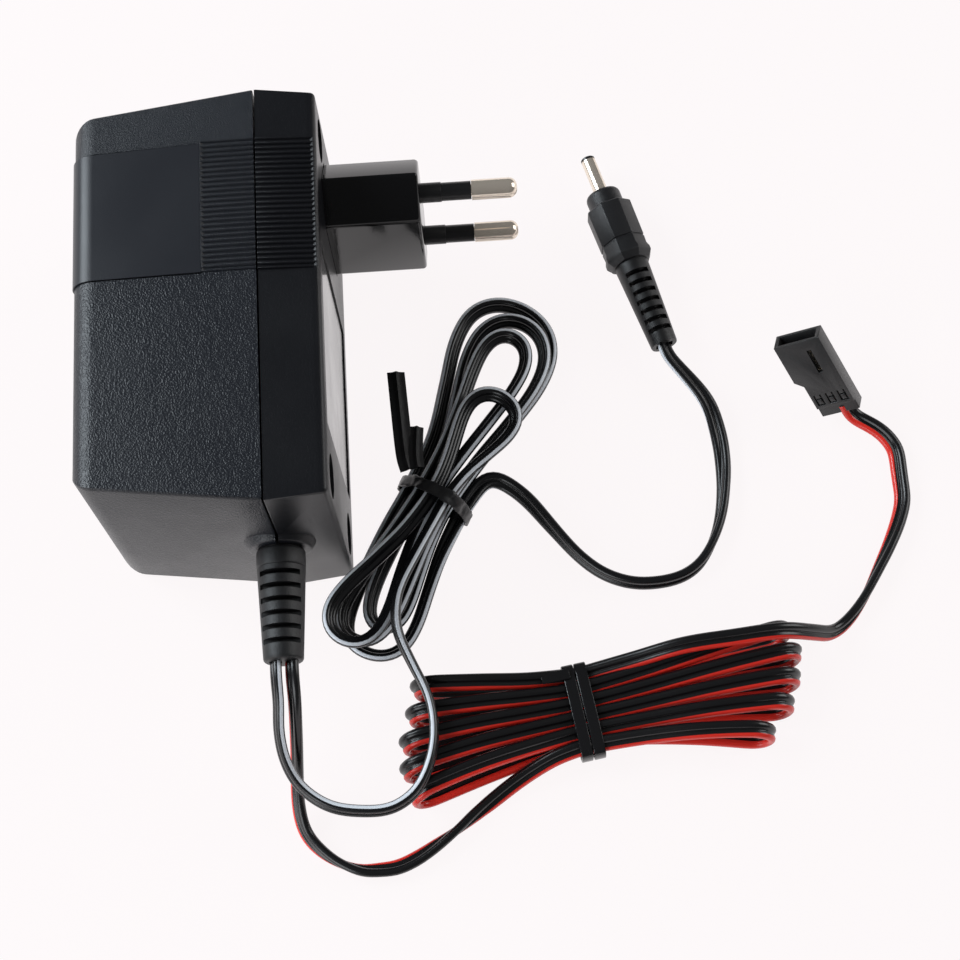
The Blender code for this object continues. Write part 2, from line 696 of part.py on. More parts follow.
# The strain relief leaves through the parting line, in a low boss that both shells share
relief_seat = HALF_HEIGHT - WALL - REAR_DRAFT * RELIEF_FLANGE / 2 / REAR_DEPTH - CLEARANCE
boss_end = HALF_HEIGHT + BOSS_RISE
for shell, sign in ((rear_shell, -1), (front_cover, 1)):
    boss = rod(
        f"boss_{sign}", BOSS_BASE / 2, (0, -HALF_HEIGHT + WALL, 0), (0, -boss_end, 0), 24, end_radius=BOSS_TOP / 2
    )
    bm = bmesh.new()
    bm.from_mesh(boss.data)
    halving = bmesh.ops.bisect_plane(
        bm,
        geom=bm.verts[:] + bm.edges[:] + bm.faces[:],
        plane_co=(sign * CLEARANCE, 0, 0),
        plane_no=(-sign, 0, 0),
        clear_outer=True,
    )["geom_cut"]
    bmesh.ops.edgenet_fill(bm, edges=[item for item in halving if isinstance(item, bmesh.types.BMEdge)])
    bmesh.ops.recalc_face_normals(bm, faces=bm.faces)
    bm.to_mesh(boss.data)
    bm.free()
    add(shell, boss)
    hole = RELIEF_BORE / 2 + CLEARANCE
    cut(shell, rod(f"relief_hole_{sign}", hole, (0, -relief_seat + WALL, 0), (0, -boss_end - WALL, 0), 24))


# Film wrapped round three sides of the rear shell, flush in a shallow channel beside the grip
cut(
    rear_shell,
    wrapped(
        "film_channel",
        WALL,
        -FILM_THICK - CLEARANCE,
        -GRIP_REACH - WALL,
        BELT_LOW - CLEARANCE,
        BELT_HIGH + CLEARANCE,
    ),
)
film_end = -GRIP_REACH - WALL - CLEARANCE
keep(wrapped("wrap_label", 0.0, -FILM_THICK, film_end, BELT_LOW, BELT_HIGH), FILM_BLACK, case)

label_floor = FRONT_DEPTH - POCKET_DEPTH + CLEARANCE
keep(
    block(
        "rating_label",
        (label_floor, LABEL_LOW, -LABEL_WIDTH / 2),
        (label_floor + LABEL_THICK, LABEL_HIGH, LABEL_WIDTH / 2),
    ),
    LABEL_GREY,
    case,
)


# Case screws: pan heads in the wells of the front cover, slotted
for number, (y, z) in enumerate(screw_places(), 1):
    head, shank = SCREW_HEAD / 2, SCREW_SHANK / 2
    profile = [(0.0, SCREW_HEAD_DEEP), (head * 0.7, SCREW_HEAD_DEEP), (head, SCREW_HEAD_DEEP * 0.6), (head, 0.0)]
    profile += [(shank, 0.0), (shank, shank - SCREW_LENGTH), (0.0, -SCREW_LENGTH)]
    screw = turned(f"case_screw_{number}", profile, sides=16)
    screw.rotation_euler = ALONG_X
    screw.location = (FRONT_DEPTH - WELL_DEPTH + CLEARANCE, y, z)
    keep(screw, STEEL, case)
    top = FRONT_DEPTH - WELL_DEPTH + CLEARANCE + SCREW_HEAD_DEEP
    cut(
        screw,
        block(
            f"slot_{number}",
            (top - SCREW_HEAD_DEEP / 2, y - SCREW_SLOT / 2, z - SCREW_HEAD),
            (top + SCREW_HEAD_DEEP, y + SCREW_SLOT / 2, z + SCREW_HEAD),
        ),
    )


# Plug body: the Euro plug block, held behind the front wall by a flange
flange_front = front_inner - CLEARANCE
flange_back = flange_front - FLANGE_THICK
plug_body = plate("plug_body", [block_outline()], BLOCK_END - flange_back)
round_edges(plug_body, BLOCK_ROUND, 2, lambda a, b: a.z > 0 or b.z > 0)
plug_body.rotation_euler = SECTION_TO_X
plug_body.location.x = (flange_back + BLOCK_END) / 2
keep(plug_body, PLUG_BLACK, case)
flange_half = BLOCK_THICK / 2 + FLANGE_REACH
add(
    plug_body,
    block(
        "plug_flange",
        (flange_back, PLUG_OFFSET - flange_half, -FLANGE_WIDTH / 2),
        (flange_front, PLUG_OFFSET + flange_half, FLANGE_WIDTH / 2),
    ),
)

# Pins: a bare round end, and a thinner rod that runs through the sleeve and block to a solder tail
pin_bare = BLOCK_END + SLEEVE_LENGTH + FINE_CLEARANCE
pin_tail = flange_back - PIN_TAIL
for name, side in (("near", 1), ("far", -1)):
    z = side * PIN_SPACING / 2
    radius, rod_radius = PIN_DIAMETER / 2, ROD_DIAMETER / 2
    tip = BLOCK_END + PIN_LENGTH
    profile = []
    for angle in np.linspace(math.pi / 2, 0.0, 5):
        profile.append((radius * math.cos(angle), tip - PIN_TIP + PIN_TIP * math.sin(angle)))
    profile[0] = (0.0, tip)
    profile += [(radius, pin_bare), (rod_radius, pin_bare), (rod_radius, pin_tail), (0.0, pin_tail)]
    pin = turned(f"pin_{name}", profile, sides=20)
    pin.rotation_euler = ALONG_X
    pin.location = (0.0, PLUG_OFFSET, z)
    keep(pin, NICKEL, case)

    bore = rod_radius + CLEARANCE
    root, thin = SLEEVE_ROOT_DIAMETER / 2, SLEEVE_DIAMETER / 2
    start, end = BLOCK_END - SLEEVE_SEAT, BLOCK_END + SLEEVE_LENGTH
    step = BLOCK_END + SLEEVE_ROOT
    profile = [(bore, end), (thin, end), (thin, step), (root, step), (root, start), (bore, start)]
    sleeve = turned(f"pin_sleeve_{name}", profile, sides=20, ring=True)
    sleeve.rotation_euler = ALONG_X
    sleeve.location = (0.0, PLUG_OFFSET, z)
    keep(sleeve, SOFT_BLACK, case)

    seat = root + CLEARANCE
    cut(
        plug_body,
        rod(f"pin_bore_{name}", bore, (pin_tail, PLUG_OFFSET, z), (BLOCK_END + WALL, PLUG_OFFSET, z), 16),
    )
    cut(
        plug_body,
        rod(
            f"sleeve_seat_{name}",
            seat,
            (start - CLEARANCE, PLUG_OFFSET, z),
            (BLOCK_END + WALL, PLUG_OFFSET, z),
            20,
        ),
    )


# Transformer: laminated core with two windows, split bobbin, two windings, tape and a thermal fuse
core_high = CORE_LOW + CORE_HEIGHT
core = block(
    "transformer_core", (-CORE_BACK, CORE_LOW, -CORE_WIDTH / 2), (CORE_FRONT, core_high, CORE_WIDTH / 2)
)
keep(core, IRON, case)
cut(
    core,
    blocks(
        "core_windows",
        [
            (
                (-CORE_BACK - WALL, WINDOW_LOW, min(side * CORE_LEG / 2, side * WINDOW_SIDE)),
                (CORE_FRONT + WALL, WINDOW_LOW + WINDOW_HEIGHT, max(side * CORE_LEG / 2, side * WINDOW_SIDE)),
            )
            for side in (1, -1)
        ],
    ),
)


def around_leg(y_low, y_high, inner, outer):
    """Low and high corners of a block round the centre leg and of the hole through it."""
    deep, wide = CORE_STACK / 2, CORE_LEG / 2
    solid = (
        (CORE_MIDDLE - deep - outer, y_low, -wide - outer),
        (CORE_MIDDLE + deep + outer, y_high, wide + outer),
    )
    hole = (
        (CORE_MIDDLE - deep - inner, y_low - WALL, -wide - inner),
        (CORE_MIDDLE + deep + inner, y_high + WALL, wide + inner),
    )
    return solid, hole


tube_inner = CLEARANCE
tube_outer = tube_inner + BOBBIN_WALL
coil_inner = tube_outer + CLEARANCE
coil_outer = coil_inner + WINDING_THICK
tape_inner = coil_outer + CLEARANCE
tape_outer = tape_inner + TAPE_THICK
bobbin_low = WINDOW_LOW + CLEARANCE
bobbin_high = WINDOW_LOW + WINDOW_HEIGHT - CLEARANCE
bobbin_middle = (bobbin_low + bobbin_high) / 2

solid, hole = around_leg(bobbin_low, bobbin_high, tube_inner, tube_outer)
bobbin = block("transformer_bobbin", *solid)
keep(bobbin, NYLON, case)
cheeks = (bobbin_low, bobbin_middle - BOBBIN_WALL / 2, bobbin_high - BOBBIN_WALL)
for number, cheek_low in enumerate(cheeks, 1):
    cheek, _ = around_leg(cheek_low, cheek_low + BOBBIN_WALL, tube_inner, tape_outer)
    add(bobbin, block(f"bobbin_cheek_{number}", *cheek))
cut(bobbin, block("bobbin_bore", *hole))

halves = (
    ("secondary_winding", cheeks[0] + BOBBIN_WALL, cheeks[1]),
    ("primary_winding", cheeks[1] + BOBBIN_WALL, cheeks[2]),
)
for name, low, high in halves:
    solid, hole = around_leg(low + CLEARANCE, high - CLEARANCE, coil_inner, coil_outer)
    winding = block(name, *solid)
    round_edges(winding, WINDING_THICK / 3, 2, lambda a, b: abs(a.y - b.y) > WALL)
    keep(winding, COPPER, case)
    cut(winding, block(name + "_bore", *hole))
solid, hole = around_leg(
    cheeks[1] + BOBBIN_WALL + CLEARANCE, cheeks[2] - CLEARANCE, tape_inner, tape_outer
)
tape = block("primary_tape", *solid)
keep(tape, TAPE_YELLOW, case)
cut(tape, block("tape_bore", *hole))

coil_front = CORE_MIDDLE + CORE_STACK / 2 + coil_outer
tape_front = CORE_MIDDLE + CORE_STACK / 2 + tape_outer
primary_level = (cheeks[1] + cheeks[2] + BOBBIN_WALL) / 2
secondary_level = (cheeks[0] + cheeks[1] + BOBBIN_WALL) / 2
fuse_axis = tape_front + CLEARANCE + FUSE_DIAMETER / 2
keep(
    rod(
        "thermal_fuse",
        FUSE_DIAMETER / 2,
        (fuse_axis, primary_level, -FUSE_LENGTH / 2),
        (fuse_axis, primary_level, FUSE_LENGTH / 2),
        16,
    ),
    STEEL,
    case,
)

# Wires from the pins to the primary, and from the secondary to the board
for name, side in (("near", 1), ("far", -1)):
    z = side * PIN_SPACING / 2
    route = [
        Vector((pin_tail - CLEARANCE, PLUG_OFFSET, z)),
        Vector((pin_tail - 2 * MAINS_WIRE, PLUG_OFFSET, z)),
        Vector((tape_front + 3 * MAINS_WIRE, (PLUG_OFFSET + primary_level) / 2, z)),
        Vector((tape_front + 2 * MAINS_WIRE, primary_level, side * CORE_LEG / 2)),
        Vector((tape_front + CLEARANCE, primary_level, side * CORE_LEG / 2)),
    ]
    keep_tube(f"mains_wire_{name}", smooth_route(route, 2 * MAINS_WIRE), MAINS_WIRE / 2, SOFT_BLACK, case)

board_front = -BOARD_BACK + BOARD_DEPTH
board_top = BOARD_LEVEL + BOARD_THICK / 2
board_under = BOARD_LEVEL - BOARD_THICK / 2
keep(
    block(
        "circuit_board",
        (-BOARD_BACK, board_under, -BOARD_WIDTH / 2),
        (board_front, board_top, BOARD_WIDTH / 2),
    ),
    BOARD_BROWN,
    case,
)
for number, side in ((1, 1), (2, -1)):
    z = side * CORE_LEG / 2
    landing = board_front - 2 * SECONDARY_WIRE
    route = [
        Vector((coil_front + CLEARANCE, secondary_level, z)),
        Vector((coil_front + 2 * SECONDARY_WIRE, secondary_level, z)),
        Vector((coil_front + 2 * SECONDARY_WIRE, (secondary_level + board_top) / 2, z)),
        Vector((landing, board_top + 2 * SECONDARY_WIRE, z)),
        Vector((landing, board_top + CLEARANCE, z)),
    ]
    keep_tube(
        f"secondary_wire_{number}", smooth_route(route, 2 * SECONDARY_WIRE), SECONDARY_WIRE / 2, RED, case
    )
    diode_y = board_under - CLEARANCE - DIODE_DIAMETER / 2
    diode_x = -BOARD_BACK + BOARD_DEPTH / 4
    diode_z = side * DIODE_LENGTH
    keep(
        rod(
            f"diode_{number}",
            DIODE_DIAMETER / 2,
            (diode_x, diode_y, diode_z - DIODE_LENGTH / 2),
            (diode_x, diode_y, diode_z + DIODE_LENGTH / 2),
            16,
        ),
        SOFT_BLACK,
        case,
    )
    resistor_y = board_under - CLEARANCE - RESISTOR_DIAMETER / 2
    resistor_z = side * BOARD_WIDTH / 4
    resistor_x = -BOARD_BACK + BOARD_DEPTH / 2
    keep(
        rod(
            f"resistor_{number}",
            RESISTOR_DIAMETER / 2,
            (resistor_x - RESISTOR_LENGTH / 2, resistor_y, resistor_z),
            (resistor_x + RESISTOR_LENGTH / 2, resistor_y, resistor_z),
            16,
        ),
        CERAMIC,
        case,
    )


# Strain relief: moulded on both leads, held by its flange, slotted above and below so that it bends
relief_inner = relief_seat - RELIEF_FLANGE_THICK
relief_out = boss_end + CLEARANCE
relief_end = relief_out + RELIEF_LENGTH
root, tip = RELIEF_ROOT / 2, RELIEF_TIP / 2
profile = [
    (0.0, relief_end),
    (tip, relief_end),
    (root, relief_out + RELIEF_COLLAR),
    (root, relief_out),
    (RELIEF_BORE / 2, relief_out),
    (RELIEF_BORE / 2, relief_seat),
    (RELIEF_FLANGE / 2, relief_seat),
    (RELIEF_FLANGE / 2, relief_inner),
    (0.0, relief_inner),
]
strain_relief = turned("strain_relief", profile, sides=24)
strain_relief.rotation_euler = OUT_OF_BASE
keep(strain_relief, SOFT_BLACK, case)
slots = []
for number in range(RELIEF_SLOTS):
    y = -relief_out - RELIEF_SLOT_FIRST - number * RELIEF_SLOT_PITCH
    for side in (1, -1):
        near, far = side * RELIEF_WEB / 2, side * RELIEF_ROOT
        # The slot stops short of the side walls, which stay whole
        wide = root * 0.82
        slots.append(
            (
                (-wide, y - RELIEF_SLOT_WIDTH / 2, min(near, far)),
                (wide, y + RELIEF_SLOT_WIDTH / 2, max(near, far)),
            )
        )
cut(strain_relief, blocks("relief_slots", slots))

# Ends of the leads inside the case, straight from the strain relief to the board
for name, side in (("a", -1), ("b", 1)):
    x = side * LEAD_SPACING / 2
    ends = [(x, -relief_inner + CLEARANCE, 0.0), (x, board_under - CLEARANCE, 0.0)]
    keep_tube(f"lead_{name}_tail", ends, LEAD_RADIUS, SOFT_BLACK, case)


# Hanks. Each is one unbroken tube; along is the hank's own length, across its width


def lift(along):
    """How far the loops rise over the tie that passes under them."""
    return TIE_LIFT * math.exp(-((along / LIFT_SPREAD) ** 2))


def ease(share):
    share = min(max(share, 0.0), 1.0)
    return share * share * (3 - 2 * share)


def laid(spot):
    """A spot measured from the lower front corner of the case, in table coordinates."""
    return Vector((LAY_X + spot[0], LAY_Y + spot[1], *spot[2:]))


def on_table(local, spot, turn):
    """Hank coordinates to table coordinates."""
    along, across, height = local
    origin = laid(spot)
    x = origin.x + along * math.cos(turn) - across * math.sin(turn)
    y = origin.y + along * math.sin(turn) + across * math.cos(turn)
    return (x, y, height)


def hank_a_points():
    """Flat lobes, up and down from the tie in turn, each a half loop from one pass to the next."""
    points = []
    steps = LOOP_POINTS // 2
    for number, (reach, swell, lean, hook, bulb) in enumerate(HANK_A_LOBES):
        (start, layer), (end, next_layer) = HANK_A_PASSES[number], HANK_A_PASSES[number + 1]
        way = 1 if number % 2 == 0 else -1
        middle, half = HANK_A_PITCH * (start + end) / 2, HANK_A_PITCH * (start - end) / 2
        drop_start, drop_share = HANK_A_DROPS.get(number, (0.0, 1.0))
        for step in range(steps):
            angle = math.pi * step / steps
            bulge = math.sin(angle) ** 2
            along = way * reach * math.sin(angle)
            side = half + swell * bulge + bulb * bulge**3
            across = middle + side * math.cos(angle) + lean * bulge + hook * bulge**3
            level = layer + (next_layer - layer) * ease((step / steps - drop_start) / drop_share)
            points.append((along, across, LEAD_RADIUS + HANK_A_LAYER * level + lift(along)))
    first, last = HANK_A_PASSES[0], HANK_A_PASSES[-1]
    for along, (across, level) in ((-LEAD_DIAMETER, first), (0.0, last), (LEAD_DIAMETER, last)):
        height = LEAD_RADIUS + HANK_A_LAYER * level + lift(along)
        end = (along, across * HANK_A_PITCH, height)
        points.insert(0, end) if level == first[1] else points.append(end)
    return [on_table(point, HANK_A_PLACE, HANK_A_TURN) for point in points]


def hank_b_lane(along, lane, reach):
    """Place across of a lane: lanes fan out from the tie towards the folds."""
    share = min(abs(along) / reach, 1.0)
    end_pitch = HANK_B_RIGHT_PITCH if along > 0 else HANK_B_LEFT_PITCH
    return lane * (HANK_B_WAIST_PITCH + (end_pitch - HANK_B_WAIST_PITCH) * share**1.5)


def hank_b_points():
    """Runs to the right on top and back underneath, joined by upright half round folds."""
    fold_steps, run_steps = 6, 6
    lanes = len(HANK_B_RIGHT)
    track = []
    for loop, (right, left) in enumerate(zip(HANK_B_RIGHT, HANK_B_LEFT)):
        turns = ((1, right, loop, HANK_B_SHIFTS[0]), (-1, left, loop + 0.5, HANK_B_SHIFTS[1]))
        for way, reach, start, shift in turns:
            flat = reach - HANK_B_FOLD
            for step in range(run_steps // 2):
                track.append((way * flat * step / (run_steps // 2), 1.0 * way, start, reach))
            for step in range(fold_steps + 1):
                angle = math.pi * (0.5 - step / fold_steps)
                along = way * (flat + HANK_B_FOLD * math.cos(angle))
                track.append((along, way * math.sin(angle), start + shift * step / fold_steps, reach))
            for step in range(1, run_steps // 2):
                share = step / (run_steps // 2)
                lane = start + shift + (0.5 - shift) * share
                track.append((way * flat * (1 - share), -1.0 * way, lane, reach))
    track = [(-LEAD_DIAMETER, 1.0, 0.0, HANK_B_RIGHT[0])] + track
    track += [(along, 1.0, lanes, HANK_B_RIGHT[-1]) for along in (0.0, LEAD_DIAMETER)]
    points = []
    for along, side, progress, reach in track:
        share = ease(abs(along) / (0.6 * reach))
        rise = HANK_B_WAIST_RISE + (2 * HANK_B_FOLD - HANK_B_WAIST_RISE) * share
        height = LEAD_RADIUS + lift(along) + rise * (1 + side) / 2
        points.append((along, hank_b_lane(along, progress - lanes / 2, reach), height))
    return [on_table(point, HANK_B_PLACE, HANK_B_TURN) for point in points]


def least_gap(points, name):
    """Prints the least gap between stretches of one tube that aren't neighbours along it."""
    path = smooth_route(points, LEAD_RADIUS)
    near = round(4 * LEAD_DIAMETER / LEAD_RADIUS)
    least = math.inf
    for index in range(len(path) - near):
        apart = np.linalg.norm(path[index + near :] - path[index], axis=1).min()
        least = min(least, apart)
    length = np.linalg.norm(np.diff(path, axis=0), axis=1).sum()
    print(f"{name}: length {length * 1000:.0f} mm, least gap to itself {(least - LEAD_DIAMETER) * 1000:.2f} mm")


hank_a = hank_a_points()
hank_b = hank_b_points()
for name, points in (("lead_a_hank", hank_a), ("lead_b_hank", hank_b)):
    least_gap(points, name)
    keep_tube(name, points, LEAD_RADIUS, SOFT_BLACK, bench, sides_level=1)


# Free stretches: straight out of the strain relief, along the table, and square into what they meet


def toward(start, end, distance):
    """The point at a distance from start on the way to end."""
    start, end = Vector(start), Vector(end)
    return start + (end - start).normalized() * distance


def out_of_relief(side):
    x = PARTING_X + side * LEAD_SPACING / 2
    y = BOSS_RISE / 2 - relief_end - CLEARANCE
    return [Vector((x, y, HALF_WIDTH)), Vector((x, y - LEAD_DIAMETER, HALF_WIDTH))]


def into(end, before):
    """Last points of a stretch that runs square into a tube end, given the tube's next point."""
    return [toward(end, before, -CLEARANCE - LEAD_DIAMETER), toward(end, before, -CLEARANCE)]


def out_of(end, before):
    return list(reversed(into(end, before)))


dc_axis = (DC_TIP_END - DC_CORD_END).normalized()
dc_height = DC_BODY / 2 + DC_TABLE_GAP
dc_cord = Vector((*laid(DC_CORD_END), dc_height))
dc_inside = dc_cord + Vector((*dc_axis, 0.0))

servo = place("servo_connector")
servo.location = laid(SERVO_PLACE)
servo.rotation_euler = SERVO_TURN
bpy.context.view_layer.update()
servo_middle = SERVO_STEP / 2
servo_mouth = servo.matrix_world @ Vector((servo_middle + SERVO_PITCH / 2, 0.0, SERVO_THICK / 2))
servo_inside = servo.matrix_world @ Vector((servo_middle + SERVO_PITCH / 2, SERVO_LENGTH, SERVO_THICK / 2))

stretches = (
    ("lead_a_near", out_of_relief(-1), LEAD_A_NEAR, into(hank_a[0], hank_a[1])),
    ("lead_a_far", out_of(hank_a[-1], hank_a[-2]), LEAD_A_FAR, into(dc_cord, dc_inside)),
    ("lead_b_near", out_of_relief(1), LEAD_B_NEAR, into(hank_b[0], hank_b[1])),
    ("lead_b_far", out_of(hank_b[-1], hank_b[-2]), LEAD_B_FAR, into(servo_mouth, servo_inside)),
)
for name, start, middle, end in stretches:
    smooth = smooth_route([*start, *map(laid, middle), *end], LEAD_STEP)
    ends = np.array([start[0], end[-1]])
    clear = np.linalg.norm(smooth[:, None] - ends, axis=2).min(axis=1) > 2 * LEAD_DIAMETER
    route = np.array([*start, *smooth[clear], *end])
    length = np.linalg.norm(np.diff(route, axis=0), axis=1).sum()
    print(f"{name}: length {length * 1000:.0f} mm, lowest {route[:, 2].min() * 1000:.2f} mm")
    keep_tube(name, route, LEAD_RADIUS, SOFT_BLACK, bench)


# Ties: a flat band round each waist, and the loose tail of the twisted one


def tie(name, low, high, top, spot, turn):
    """A band that encloses a waist from low to high across, up to a height."""
    inner = CLEARANCE
    half = (high - low) / 2 + inner
    tall = (top - TIE_LIFT) / 2 + inner
    middle = ((low + high) / 2, (top + TIE_LIFT) / 2)
    corner = LEAD_RADIUS
    outlines = [
        rounded_box(half + TIE_THICK, tall + TIE_THICK, corner + TIE_THICK, middle),
        rounded_box(half, tall, corner, middle),
    ]
    band = plate(name, outlines, TIE_WIDTH)
    band.rotation_euler = (math.radians(90), 0.0, turn + math.radians(90))
    band.location = laid(spot)
    keep(band, SOFT_BLACK, bench)


passes = [across * HANK_A_PITCH for across, _ in HANK_A_PASSES]
top_a = TIE_LIFT + LEAD_DIAMETER + HANK_A_LAYER * max(level for _, level in HANK_A_PASSES)
tie("tie_a", min(passes) - LEAD_RADIUS, max(passes) + LEAD_RADIUS, top_a, HANK_A_PLACE, HANK_A_TURN)
side_b = HANK_B_WAIST_PITCH * len(HANK_B_RIGHT) / 2 + FLEX_WIDTH / 2
top_b = TIE_LIFT + LEAD_DIAMETER + HANK_B_WAIST_RISE
tie("tie_b", -side_b, side_b, top_b, HANK_B_PLACE, HANK_B_TURN)

tail_side = max(passes) + LEAD_RADIUS + CLEARANCE + TIE_THICK + CLEARANCE + TIE_WIDTH / 2
tail_root = Vector(on_table((0.0, tail_side, 0.0), HANK_A_PLACE, HANK_A_TURN))
tail = block(
    "tie_a_tail",
    (tail_root.x - TIE_WIDTH / 2, tail_root.y, CLEARANCE),
    (tail_root.x + TIE_WIDTH / 2, tail_root.y + TIE_TAIL_LENGTH, CLEARANCE + TIE_THICK),
)
keep(tail, SOFT_BLACK, bench)


# DC plug: eight-sided housing with a collar, slotted boot, and a barrel of sleeve, insulator and contact
dc = place("dc_plug")
dc.location = dc_cord
dc.rotation_euler = Vector((*dc_axis, 0.0)).to_track_quat("Z", "X").to_euler()
body_low = DC_BOOT_LENGTH + CLEARANCE
body_high = body_low + DC_BODY_LENGTH
collar_high = body_high + DC_COLLAR_LENGTH
barrel_root = collar_high - DC_BARREL_SEAT
barrel_end = collar_high + DC_BARREL_LENGTH

corner_radius = DC_BODY / 2 / math.cos(math.pi / 8)
housing = rod("dc_housing", corner_radius, (0, 0, body_low), (0, 0, body_high), 8)
housing.data.transform(Matrix.Rotation(math.pi / 8, 4, "Z"))
round_edges(housing, DC_BODY_ROUND, 1, lambda a, b: True)
keep(housing, SOFT_BLACK, dc)
add(
    housing,
    rod("dc_collar", DC_COLLAR / 2, (0, 0, body_high - DC_COLLAR_LENGTH), (0, 0, collar_high), 20),
)
cut(
    housing,
    rod(
        "dc_seat", DC_BARREL / 2 + FINE_CLEARANCE, (0, 0, barrel_root - CLEARANCE), (0, 0, barrel_end), 20
    ),
)

boot = turned(
    "dc_boot",
    [
        (0.0, DC_BOOT_LENGTH),
        (DC_BOOT_ROOT / 2, DC_BOOT_LENGTH),
        (DC_BOOT_TIP / 2, CLEARANCE),
        (0.0, CLEARANCE),
    ],
    sides=20,
)
keep(boot, SOFT_BLACK, dc)
slots = []
for number in range(DC_BOOT_SLOTS):
    z = DC_BOOT_SLOT_FIRST + number * DC_BOOT_SLOT_PITCH
    wide = DC_BOOT_TIP / 2 * 0.8
    for side in (1, -1):
        near, far = side * DC_BOOT_WEB / 2, side * DC_BOOT_ROOT
        slots.append(
            (
                (min(near, far), -wide, z - DC_BOOT_SLOT_WIDTH / 2),
                (max(near, far), wide, z + DC_BOOT_SLOT_WIDTH / 2),
            )
        )
cut(boot, blocks("dc_boot_slots", slots))

sleeve_radius, sleeve_bore = DC_BARREL / 2, DC_BARREL_BORE / 2
sleeve_top = barrel_end - DC_INSULATOR_LIP - FINE_CLEARANCE
barrel = turned(
    "dc_barrel",
    [
        (sleeve_bore, sleeve_top),
        (sleeve_radius, sleeve_top),
        (sleeve_radius, barrel_root),
        (sleeve_bore, barrel_root),
    ],
    ring=True,
)
keep(barrel, NICKEL, dc)
lining = sleeve_bore - FINE_CLEARANCE
bore = DC_INSULATOR_BORE / 2
lip_low = barrel_end - DC_INSULATOR_LIP
insulator = turned(
    "dc_insulator",
    [
        (bore, barrel_end),
        (sleeve_radius, barrel_end),
        (sleeve_radius, lip_low),
        (lining, lip_low),
        (lining, barrel_root),
        (bore, barrel_root),
    ],
    ring=True,
)
keep(insulator, SOFT_BLACK, dc)
contact_outer = bore - FINE_CLEARANCE
contact = turned(
    "dc_contact",
    [
        (DC_CONTACT_BORE / 2, lip_low),
        (contact_outer, lip_low),
        (contact_outer, barrel_root),
        (DC_CONTACT_BORE / 2, barrel_root),
    ],
    sides=14,
    ring=True,
)
keep(contact, NICKEL, dc)


# Servo connector: a flat shroud, stepped in on one side, with three contacts in line
half = SERVO_WIDTH / 2
housing = block("servo_housing", (-half, 0, 0), (half, SERVO_LENGTH, SERVO_THICK))
keep(housing, SOFT_BLACK, servo)
step_outline = [
    (-half - SERVO_STEP, -SERVO_STEP),
    (-half + SERVO_STEP, -SERVO_STEP),
    (-half + SERVO_STEP, SERVO_STEP_LENGTH - SERVO_STEP),
    (-half - SERVO_STEP, SERVO_STEP_LENGTH + SERVO_STEP),
]
step_cut = plate("servo_step", [step_outline], 3 * SERVO_THICK)
cut(housing, step_cut)
lip_cut = block(
    "servo_lip", (-SERVO_WIDTH, -SERVO_LIP_LENGTH, 0), (SERVO_WIDTH, SERVO_LIP_LENGTH, SERVO_THICK)
)
lip_angle = math.atan2(SERVO_LIP_DROP, SERVO_LIP_LENGTH)
lip_cut.data.transform(Matrix.Translation((0.0, -SERVO_LIP_LENGTH, SERVO_THICK / 2)))
lip_cut.location = (0.0, SERVO_LIP_LENGTH, SERVO_THICK)
lip_cut.rotation_euler.x = lip_angle
cut(housing, lip_cut)
cavity_low = SERVO_LENGTH - SERVO_CAVITY
cut(
    housing,
    block(
        "servo_cavity",
        (-half + SERVO_SIDE_WALL, cavity_low, SERVO_FACE_WALL),
        (half - SERVO_SIDE_WALL, SERVO_LENGTH + WALL, SERVO_THICK - SERVO_FACE_WALL),
    ),
)
slot_wide, slot_long = SERVO_SLOT
slot_front = SERVO_LENGTH - SERVO_SLOT_FRONT
cut(
    housing,
    block(
        "servo_slot",
        (SERVO_SLOT_SIDE - slot_wide / 2, slot_front - slot_long, SERVO_THICK - 2 * SERVO_FACE_WALL),
        (SERVO_SLOT_SIDE + slot_wide / 2, slot_front, SERVO_THICK + SERVO_FACE_WALL),
    ),
)
window_wide, window_long = SERVO_WINDOW
middle = SERVO_THICK / 2
for number, place_ in enumerate((-1, 0, 1), 1):
    x = servo_middle + place_ * SERVO_PITCH
    channel = SERVO_CHANNEL / 2
    cut(
        housing,
        block(
            f"servo_channel_{number}",
            (x - channel, -WALL, middle - channel),
            (x + channel, cavity_low + SERVO_FACE_WALL, middle + channel),
        ),
    )
    cut(
        housing,
        block(
            f"servo_window_{number}",
            (x - window_wide / 2, SERVO_WINDOW_BACK, SERVO_THICK - SERVO_WINDOW_DEEP),
            (x + window_wide / 2, SERVO_WINDOW_BACK + window_long, SERVO_THICK + SERVO_FACE_WALL),
        ),
    )
    crimp, pin = SERVO_CRIMP / 2, SERVO_PIN / 2
    contact = block(
        f"servo_contact_{number}",
        (x - crimp, SERVO_LIP_LENGTH, middle - crimp),
        (x + crimp, cavity_low, middle + crimp),
    )
    keep(contact, NICKEL, servo)
    add(
        contact,
        block(
            f"servo_pin_{number}",
            (x - pin, cavity_low - SERVO_CRIMP, middle - pin),
            (x + pin, cavity_low + SERVO_PIN_OUT, middle + pin),
        ),
    )
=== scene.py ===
"""Looks of a plug-in charger lying on its side with its two leads in hanks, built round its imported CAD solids."""

import math

import bmesh
import bpy
import numpy as np
from mathutils import Euler, Matrix, Vector


